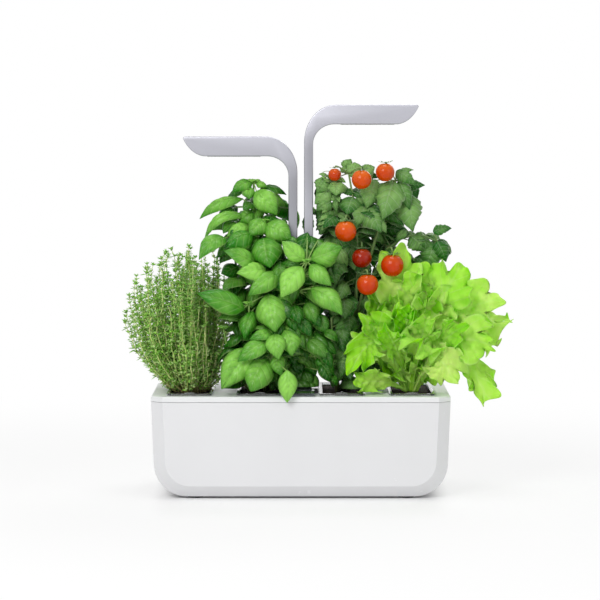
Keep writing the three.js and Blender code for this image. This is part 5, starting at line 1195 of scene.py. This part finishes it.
# place, size, rise of the stalk and ripeness
tomatoFruits = [
    [[-0.03, -0.07, 0.927], 0.65, 0.6, 0.45],
    [[0.083, -0.12, 0.908], 1, 0.5, 0.1],
    [[0.183, -0.1, 0.938], 0.95, 0.4, 0.3],
    [[0.015, -0.15, 0.69], 1.08, 1.6, 0.2],
    [[0.085, -0.12, 0.575], 1, 1.6, 0.95],
    [[0.213, -0.14, 0.545], 1.15, 1.6, 0.65],
    [[0.107, -0.2, 0.4675], 1.08, 1, 0.6],
]
# boxes in millimetres that leaflets with painted shade fill: low, high, count, sizes, slimness and hang
tomatoFill = [
    ((20, -14, 235), (98, 34, 336), 90, (26, 40), 0.68, (0.1, 1.3)),
    ((18, -26, 150), (92, 34, 245), 110, (26, 40), 0.72, (0.1, 1.3)),
    ((16, -34, 246), (40, -22, 294), 24, (18, 26), 0.74, (1.0, 3.0)),
    ((26, -46, 134), (62, -16, 244), 60, (24, 38), 0.78, (0.6, 2.4)),
    ((60, -16, 122), (96, 20, 200), 40, (20, 32), 0.74, (0.2, 1.3)),
    ((28, -60, 134), (46, -36, 205), 24, (22, 34), 0.78, (0.6, 2.4)),
    ((92, -10, 240), (142, 30, 270), 44, (24, 34), 0.68, (0.5, 1.8)),
    ((130, -6, 232), (164, 22, 254), 20, (18, 28), 0.7, (0.8, 2.0)),
]


def skinFinish(name, height, radius, ripe):
    # glossy skin, still orange round the stalk
    finish = Finish(name)
    cloud = finish.noise(14, 3)
    top = finish.height().ramp(float(height - radius * 0.2), float(height + radius * 1.2))
    body = tuple(a + (b - a) * ripe for a, b in zip(fruitLook["orange"], fruitLook["red"]))
    if ripe > 0.8:
        body = fruitLook["deepRed"]
    colour = finish.mix(cloud.ramp(0.35, 0.8) * 0.35, body, fruitLook["deepRed"])
    colour = finish.mix(top * (0.55 - 0.5 * ripe), colour, fruitLook["shoulder"])
    return finish.show(finish.surface(
        color=colour, rough=fruitLook["rough"] + cloud * 0.08, shine=0.24,
        normal=finish.bump(finish.noise(0.9, 2), 0.012), subsurface=0.03, subsurfaceScale=0.004,
        subsurfaceRadius=(1.0, 0.3, 0.1)))


def makeFruit(number, place, size, ripe):
    # round fruit with shallow shoulders round its stalk
    radius = fruitLook["radius"] * size
    centre = onPlant("tomato", place)
    rows, columns = 26, 40
    points, faces = [], []
    for r in range(1, rows):
        angle = math.pi * r / rows
        flat = 1 - 0.09 * math.exp(-(angle / 0.42) ** 2) - 0.03 * math.exp(-((math.pi - angle) / 0.25) ** 2)
        for c in range(columns):
            turn = 2 * math.pi * c / columns
            shoulder = 1 + 0.012 * math.cos(5 * turn + number) * math.exp(-(angle / 0.9) ** 2)
            points.append((centre[0] + radius * shoulder * math.sin(angle) * math.cos(turn),
                           centre[1] + radius * shoulder * math.sin(angle) * math.sin(turn),
                           centre[2] + radius * flat * math.cos(angle)))
    for r in range(rows - 2):
        for c in range(columns):
            a, b = r * columns + c, r * columns + (c + 1) % columns
            faces.append((b, a, a + columns, b + columns))
    faces.append(tuple(range(columns)))
    faces.append(tuple(range((rows - 2) * columns, (rows - 1) * columns))[::-1])
    finish = skinFinish(f"tomatoSkin{number}", centre[2], radius, ripe)
    fruit = outward(meshPiece(f"tomato_{number}", points, faces, finish, "deck"))
    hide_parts(f"tomato_fruit_{number}")


def calyx(growth, top, radius):
    # five or six narrow green points on top of a fruit
    chance = growth.chance
    count = int(chance.integers(5, 7))
    start = chance.uniform(0, 6)
    t = np.linspace(0, 1, 7)
    half = np.interp(t, [0, 0.25, 0.7, 1], [0.1, 0.13, 0.09, 0.01]) * radius
    for k in range(count):
        turn = start + 2 * math.pi * k / count + chance.uniform(-0.2, 0.2)
        out = np.array([math.cos(turn), math.sin(turn), 0])
        long = radius * chance.uniform(0.75, 1.05)
        curl = chance.uniform(-0.1, 0.35) * t ** 2 - 0.3 * t ** 2 * (t < 0.8)
        high = 0.0006 + 0.0004 * np.sin(t * 3) + curl * long * 0.6
        centre = top + out * (t * long)[:, None] + np.array([0, 0, 1.0]) * high[:, None]
        side = np.array([-math.sin(turn), math.cos(turn), 0])
        grid = centre[:, None] + side * (half[:, None] * np.array([-1.0, 0.0, 1.0]))[..., None]
        growth.sheet(grid, 0.0003, (chance.uniform(0.3, 1), 0))


def makeTomato():
    growth = Growth("tomato", tomatoLook["seed"])
    chance, height = growth.chance, garden["tomato"][1]
    stems = growStems(growth, tomatoStems, 11, (0.0026, 0.0011), (0.2, 0.8))
    spare = [(onPlant("tomato", p), fruitLook["radius"] * size + 0.0009) for p, size, _, _ in tomatoFruits]
    rows = []
    for base, tip, width, face, arch in tomatoLeaves:
        a, b = onPlant("tomato", base), onPlant("tomato", tip)
        b = a + (b - a) * 1.18
        rows.append((a, b, width * height * 1.45, face, arch, 0.0))
        # a smaller pair of leaflets behind the end one, with some painted shade
        side = unit(np.cross(b - a, facing(face)))
        back = a - (b - a) * 0.25
        for hand in (-1, 1):
            if chance.uniform() < 0.7:
                long = np.linalg.norm(b - a) * chance.uniform(0.45, 0.65)
                way = unit(side * hand + unit(b - a) * chance.uniform(0.1, 0.7))
                rows.append((back, back + way * long, long * 0.62, face * chance.uniform(0.5, 1),
                             arch, chance.uniform(0, 0.5)))
    # leaflets to the left and right of the upright stems, to fill the bush, with painted shade
    for line in stems[:4]:
        for t in np.linspace(0.28, 0.98, 10):
            at = pointAt(line, t * (len(line) - 1))
            for hand in (-1, 1):
                turn = math.pi / 2 + hand * chance.uniform(0.2, 1.45)
                way = np.array([math.cos(turn), math.sin(turn), 0])
                reach = chance.uniform(0.022, 0.042)
                base = at + way * reach * 0.4
                tip = base + way * reach * 0.8 - np.array([0, 0, reach * chance.uniform(-0.1, 0.85)])
                rows.append((base, tip, reach * chance.uniform(0.5, 0.68), chance.uniform(-0.1, 0.5),
                             chance.uniform(0.06, 0.18), chance.uniform(0.2, 1.0)))
    rows += fillRows(growth, tomatoFill)
    refused = 0
    for base, tip, width, face, arch, deep in rows:
        # a random own green and the painted shade of each leaflet
        tint = (chance.uniform(0, 1), deep)
        centre = ovalBlade(growth, tomatoLook, base, tip, width, face, arch, tint, deep < 0.3, spare)
        if centre is None:
            refused += 1
            continue
        petiole(growth, stems, base, centre[1], (0.0008, 0.0005), (chance.uniform(0.3, 1), 0))
    for place, size, rise, ripe in tomatoFruits:
        radius = fruitLook["radius"] * size
        cap = onPlant("tomato", place) + np.array([0, 0, radius * 0.97])
        root = nearestOn(stems, cap)
        line = bezier(root, cap + np.array([0, 0, fruitLook["radius"] * rise]), cap, 12)
        bulge = 0.0008 + 0.0005 * np.exp(-((np.linspace(0, 1, 12) - 0.7) / 0.06) ** 2)
        growth.stalk(line, bulge, 8, (chance.uniform(0.3, 0.9), 0))
        calyx(growth, cap, radius)
    print("tomato leaves", len(rows) - refused, "of", len(rows))
    # hair-thin flower stalks with small young leaflets at the upper left
    for _ in range(34):
        start = onPlant("tomato", (-0.06 + chance.uniform(-0.03, 0.06), -0.02, chance.uniform(0.74, 0.93)))
        way = np.array([-1.0 + chance.uniform(-0.3, 1.1), -0.5, chance.uniform(-0.6, 0.6)]) * 0.016
        line = bezier(start, start + way * 0.5 + np.array([0, 0, 0.006]), start + way, 8)
        if isFree("tomato", line, spare):
            root = nearestOn(stems, start)
            twig = bezier(root, (root + start) / 2 + np.array([0, 0, 0.004]), start, 6)
            growth.stalk(twig, 0.0005, 6, (0.8, 0))
            growth.stalk(line, np.linspace(0.0005, 0.0003, 8), 6, (0.9, 0))
            small = unit(way) * chance.uniform(0.008, 0.015)
            ovalBlade(growth, tomatoLook, line[-1], line[-1] + small, np.linalg.norm(small) * 0.55,
                      chance.uniform(0.3, 0.9), 0.12, (1.0, 0), True, spare)
    piece = growth.piece("tomatoBush", [leafFinish("tomatoLeaf", tomatoLook),
                                        stemFinish("tomatoStem", tomatoLook["stem"])])
    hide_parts("tomato_plant")
    for number, (place, size, _, ripe) in enumerate(tomatoFruits, 1):
        makeFruit(number, place, size, ripe)


makeTomato()
print("tomato made")


lettuceLook = {"dark": tone(166, 238, 0), "light": tone(244, 250, 158), "deep": tone(122, 208, 0),
               "vein": tone(236, 250, 180), "under": tone(204, 236, 128), "through": tone(206, 255, 30),
               "veins": 8.0, "slant": 2.4, "veinWidth": 0.07, "ribWidth": 0.1, "veinShare": 0.34,
               "rimHighlightShare": 0.4, "rough": 0.4, "shine": 0.12, "coat": 0.05, "throughShare": 0.4, "cut": 0.36,
               "lobes": 7.0, "relief": 0.35, "mottle": 14, "thickness": 0.0004, "paintedShadeShare": 0.5, "seed": 41}
# bend, tip, width and face; every leaf starts in the crown
lettuceLeaves = [
    [[-0.25, -0.2, 0.42], [-0.44, -0.32, 0.71], 0.2, 0.6],
    [[-0.16, -0.2, 0.34], [-0.325, -0.34, 0.53], 0.26, 0.75],
    [[-0.2, -0.25, 0.62], [-0.42, -0.42, 0.135], 0.2, 0.7],
    [[-0.2, -0.3, 0.14], [-0.39, -0.38, 0.06], 0.18, 0.9],
    [[-0.08, -0.05, 0.5], [-0.16, -0.12, 0.76], 0.26, 0.8],
    [[-0.07, -0.16, 0.55], [-0.1, -0.18, 0.99], 0.27, 0.85],
    [[0.02, -0.15, 0.5], [0.08, -0.17, 0.86], 0.28, 0.85],
    [[0.12, -0.18, 0.55], [0.34, -0.22, 0.86], 0.32, 0.75],
    [[0.22, -0.15, 0.62], [0.6, -0.25, 0.62], 0.3, 0.7],
    [[0.27, -0.09, 0.6], [0.66, -0.11, 0.42], 0.3, 0.6],
    [[0.22, -0.25, 0.5], [0.54, -0.42, 0.32], 0.28, 0.7],
    [[0.28, 0.08, 0.5], [0.58, 0.12, 0.25], 0.26, 0.4],
    [[0.3, -0.2, 0.55], [0.5, -0.3, -0.06], 0.24, 0.6],
    [[0.18, -0.28, 0.42], [0.27, -0.44, 0.06], 0.24, 0.75],
    [[0.06, -0.24, 0.5], [0.06, -0.44, 0.28], 0.26, 0.8],
    [[-0.06, -0.14, 0.45], [-0.1, -0.28, 0.6], 0.26, 0.85],
    [[0.1, -0.1, 0.5], [0.2, -0.22, 0.68], 0.28, 0.85],
    [[0.06, 0.1, 0.5], [0.1, 0.3, 0.7], 0.28, -0.7],
    [[0.15, 0.18, 0.5], [0.42, 0.34, 0.58], 0.28, -0.5],
    [[-0.08, 0.15, 0.45], [-0.14, 0.33, 0.55], 0.24, -0.6],
    [[0.15, 0.2, 0.45], [0.28, 0.42, 0.3], 0.26, -0.5],
]


def lettuceBlade(growth, base, knee, tip, width, face, tint, foot=0.3):
    # narrow pale foot, then a fan cut into round lobes with a ruffled edge all round
    chance = growth.chance
    large = width > 0.03
    rows, columns = (72, 33) if large else (54, 23)
    v = np.linspace(0, 1, rows)[:, None]
    u = np.linspace(-1, 1, columns)[None]
    start = chance.uniform(0, 6.28, 9)
    outline = np.interp(v, [0, 0.5 * foot, foot, foot + 0.12, foot + 0.27, 0.76, 0.88, 0.95, 1],
                        [0.08, 0.08, 0.13, 0.42, 0.8, 1.0, 0.94, 0.78, 0.5])
    blade = smoothStep(v, foot - 0.02, foot + 0.2)
    centre, side, up = bladeFrame(base, knee, tip, face, 48, chance.uniform(-0.6, 0.6))
    long = np.linalg.norm(np.diff(centre, axis=0), axis=1).sum()
    half = width / 2
    # the flat pattern first: its rim, the angle round its middle and the lobes there
    across = outline * half * u
    along = v * long - 0.3 * half * v ** 3 * u ** 2
    middle = long * (foot + (1 - foot) * 0.45)
    angle = np.arctan2(across / half, (along - middle) / (0.5 * (1 - foot) * long))
    rim = np.minimum((abs(u) ** 6 + v ** 24) ** (1 / 6), 1.05)
    lobes = lettuceLook["lobes"] if large else 5
    notch = (1 - abs(np.sin(angle * lobes / 2 + start[0]))) ** 2.2
    reach = 1 - blade * (lettuceLook["cut"] * notch * rim ** 2
                         - 0.045 * large * np.sin(angle * 15 + start[1]) * rim ** 4)
    across = across * reach
    along = middle + (along - middle) * reach
    wave = (0.34 * rim ** 2 * np.sin(angle * 4.5 + start[2]) + 0.2 * rim ** 3 * np.sin(angle * 9 + start[3])
            + 0.12 * large * rim ** 5 * np.sin(angle * 17 + start[4])
            + 0.16 * rim ** 2 - 0.16 * notch * rim ** 2
            + 0.07 * np.sin(across / half * 10 + start[5]) * np.sin(along / half * 9 + start[6]))
    relief = half * wave * (0.15 * abs(u) + blade)
    share = np.clip(along / long, 0, 1)
    steps = np.linspace(0, 1, len(centre))
    ahead = unit(np.gradient(centre, axis=0))
    at, out, rise, on = [pointAt(part, share, steps) for part in (centre, side, up, ahead)]
    spine = at + on * (along - share * long)[..., None]
    grid = restOnDeck(spine + out * across[..., None] + rise * relief[..., None])
    inSoil = (v < 0.16) & (abs(grid[..., 0] - garden["lettuce"][0]) < 0.02)
    grid[..., 2] = np.where(inSoil, (spine + rise * relief[..., None])[..., 2], grid[..., 2])
    good = ((clearOfGarden(grid) | inSoil) & ownGround("lettuce", grid)).all(axis=1)
    last = rows if good.all() else int(np.argmin(good))
    if last < rows * 0.3:
        return False
    grid = grid[:last]
    if last < rows:
        # the end is drawn in to a rounded tip
        fade = np.sqrt(np.clip((last - np.arange(last)) / 9, 0, 1))[:, None, None]
        rib = grid[:, columns // 2:columns // 2 + 1]
        grid = rib + (grid - rib) * fade
    thick = lettuceLook["thickness"] * (1 + 7 * (1 - smoothStep(v[:last], 0.1, foot + 0.25)))[:, :, None]
    growth.sheet(grid, thick, tint)
    return True


def makeLettuce():
    growth = Growth("lettuce", lettuceLook["seed"])
    chance = growth.chance
    height = garden["lettuce"][1]
    kept = 0

    def pale(right):
        # painted light: the leaves on the right are made paler, as if they stood against the light
        return float(np.clip(0.5 + right * 5 + chance.uniform(-0.35, 0.35), 0, 1))

    # painted shade of 0.3 on the leaves that face the back
    for bend, tip, width, face in lettuceLeaves:
        base = onPlant("lettuce", (bend[0] * 0.14, bend[1] * 0.25, 0.0))
        kept += lettuceBlade(growth, base, onPlant("lettuce", bend), onPlant("lettuce", tip),
                             width * height * 1.2, face,
                             (pale(tip[0] * height), 0.3 if face < 0 else 0.0))
    # younger leaves between the big ones, then short frilly ones round the crown; the young ones get a random
    # painted shade, the short ones 0.1
    for k in range(62):
        turn = k * 2.4
        young = k < 34
        lean = 0.14 + 0.55 * (k / 34) if young else chance.uniform(0.1, 0.34)
        out = np.array([math.cos(turn), math.sin(turn) * 0.8, 0])
        long = chance.uniform(0.5, 0.8) if young else chance.uniform(0.14, 0.42)
        bend = out * lean * (0.4 if young else 0.3) + np.array([0, 0, long * 0.6])
        tip = out * lean + np.array([0, 0, long * (1 - 0.3 * lean)])
        width = chance.uniform(0.17, 0.25) * height * (1 if young else 0.7)
        kept += lettuceBlade(growth, onPlant("lettuce", out * 0.035), onPlant("lettuce", bend),
                             onPlant("lettuce", tip), width,
                             (0.75 if young else 0.4) * (1 if out[1] < 0.3 else -1),
                             (pale(tip[0] * height), chance.uniform(0.0, 0.7) if young else 0.1),
                             0.3 if young else 0.2)
    print("lettuce leaves", kept)
    piece = growth.piece("lettuceHead", [leafFinish("lettuceLeaf", lettuceLook)])
    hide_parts("lettuce_plant")


makeLettuce()
print("lettuce made")


soilLook = {"dark": tone(26, 18, 14), "light": tone(74, 54, 40), "crumb": 0.0011, "seed": 3,
            "inset": 0.0012, "corner": 0.0045, "taper": 0.0022, "columns": 46, "rows": 116}


def makeSoil(number):
    # crumbly top on a straight-sided block inside the pot
    chance = np.random.default_rng(soilLook["seed"] + number)
    low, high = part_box(f"soil_{number}")
    rows, columns, corner = soilLook["rows"], soilLook["columns"], soilLook["corner"]
    top = np.full((rows, columns), high.z - 0.0004)
    top += chance.normal(0, 0.45, (rows, columns)) * soilLook["crumb"]
    soft = (np.roll(top, 1, 0) + np.roll(top, -1, 0) + np.roll(top, 1, 1) + np.roll(top, -1, 1)) / 4
    top = np.minimum(top * 0.6 + soft * 0.4, high.z + 0.0002)
    top[[0, -1]] = top[:, [0, -1]] = high.z - soilLook["inset"]
    # the corners are rounded by drawing them in
    x, y = np.meshgrid(np.linspace(low.x, high.x, columns), np.linspace(low.y, high.y, rows))
    innerX = np.clip(x, low.x + corner, high.x - corner)
    innerY = np.clip(y, low.y + corner, high.y - corner)
    dx, dy = x - innerX, y - innerY
    both = (dx != 0) & (dy != 0)
    far, long = np.maximum(abs(dx), abs(dy)), np.where(both, np.hypot(dx, dy), 1)
    x = np.where(both, innerX + dx * far / long, x)
    y = np.where(both, innerY + dy * far / long, y)
    grid = np.stack([x, y, top], -1).reshape(-1, 3)
    # the foot is a little smaller than the top
    front, rim = gridFaces(rows, columns)
    off = grid[rim, :2] - np.array([(low.x + high.x) / 2, (low.y + high.y) / 2])
    drawn = grid[rim, :2] - np.copysign(soilLook["taper"], off) * np.minimum(abs(off) / (0.02, 0.06), 1)
    foot = len(grid) + np.arange(len(rim))
    wall = np.stack([np.roll(rim, -1), rim, foot, np.roll(foot, -1)], 1)
    points = np.concatenate([grid, np.column_stack([drawn, np.full(len(rim), low.z)])])
    faces = front.tolist() + wall.tolist() + [foot[::-1].tolist()]
    soil = outward(meshPiece(f"soilBed_{number}", points, faces, soilFinish, "deck"))
    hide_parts(f"soil_{number}")


def peatFinish():
    finish = Finish("darkPeat")
    crumb = finish.noise(1.3, 5, 0.75)
    fibre = finish.noise(4, 4, 0.7)
    share = (crumb * 0.8 + fibre * 0.5 - 0.2).ramp(0.25, 0.85)
    return finish.show(finish.surface(color=finish.mix(share, soilLook["dark"], soilLook["light"]),
                                      rough=0.92, normal=finish.bump(crumb, 0.5)))


soilFinish = peatFinish()
for number in range(1, 5):
    makeSoil(number)
print("soil made")


# camera at the photograph's angle
shot = {"lens": 165.4, "place": (-0.0009, -3.19, 0.4362), "tilt": 3.86}
camera = bpy.data.objects.new("camera", bpy.data.cameras.new("camera"))
bpy.context.scene.collection.objects.link(camera)
camera.data.lens = shot["lens"]
camera.data.sensor_width = 36
camera.data.clip_end = 50
camera.location = shot["place"]
camera.rotation_euler = (math.radians(90 - shot["tilt"]), 0, 0)
bpy.context.scene.camera = camera

# floor, backdrop and lamps: place, aim, power and size of each; the floor's shadow and fade in metres
studio = {"floor": tone(250, 250, 250), "floorGlow": 0.72, "world": 0.33, "foot": (0.14, 0.086),
          "shadow": 0.035, "squeeze": 0.04, "fade": (0.35, 1.1),
          "lamps": {"keyLamp": ((-0.75, -1.7, 1.25), (0, 0, 0.15), 21.5, 0.9),
                    "fillLamp": ((1.5, -1.4, 0.7), (0, 0, 0.15), 4.5, 1.2),
                    "rimLamp": ((0.5, 1.3, 1.3), (0, 0, 0.2), 9, 1.0),
                    "topLamp": ((0.0, -0.1, 2.0), (0, 0, 0.1), 9, 0.8)}}


def seenRays(finish):
    # 1 for what the camera sees by itself, in a mirror or through glass
    seen, mirrored, through = finish.add("ShaderNodeLightPath", None, None,
                                         ("Is Camera Ray", "Is Glossy Ray", "Is Transmission Ray"))
    return seen.most(mirrored).most(through)


def makeFloor():
    finish = Finish("paleFloor")
    seen = seenRays(finish)
    away = finish.add("ShaderNodeVectorMath", {"operation": "LENGTH"}, {0: finish.place()}, "Value")
    x, y = finish.add("ShaderNodeSeparateXYZ", None, {0: finish.place()}, ("X", "Y"))
    besideX = (x.absolute() - studio["foot"][0]).most(0.0)
    besideY = (y.absolute() - studio["foot"][1]).most(0.0)
    near = (besideX * besideX + besideY * besideY * studio["squeeze"]) ** 0.5
    share = seen * (near.ramp(0.0, studio["shadow"]) * studio["floorGlow"]
                    + away.ramp(*studio["fade"]) * (1 - studio["floorGlow"]))
    matt = finish.add("ShaderNodeBsdfDiffuse", None, {"Color": studio["floor"]})
    glow = finish.add("ShaderNodeEmission", None, {"Color": (1, 1, 1), "Strength": 1.0})
    both = finish.add("ShaderNodeMixShader", None, {0: share, 1: matt, 2: glow})
    floor = meshPiece("floor", [(-6, -6, 0), (6, -6, 0), (6, 6, 0), (-6, 6, 0)], [(0, 1, 2, 3)],
                      finish.show(both), None)


def makeWorld():
    # white where it is seen, dimmer as a light
    finish = Finish("studio", True)
    level = finish.add("ShaderNodeMapRange", None, {0: seenRays(finish), 3: studio["world"], 4: 1.0})
    back = finish.add("ShaderNodeBackground", None, {"Color": (1, 1, 1), "Strength": level})
    bpy.context.scene.world = finish.show(back)


def softLamp(name, place, aim, power, size):
    data = bpy.data.lights.new(name, "AREA")
    data.energy = power
    data.size = size
    lamp = bpy.data.objects.new(name, data)
    bpy.context.scene.collection.objects.link(lamp)
    lamp.location = place
    lamp.rotation_euler = (Vector(aim) - Vector(place)).to_track_quat("-Z", "Y").to_euler()


makeFloor()
makeWorld()
for name, (place, aim, power, size) in studio["lamps"].items():
    softLamp(name, place, aim, power, size)
bpy.context.scene.view_settings.view_transform = "Standard"
print("studio made")
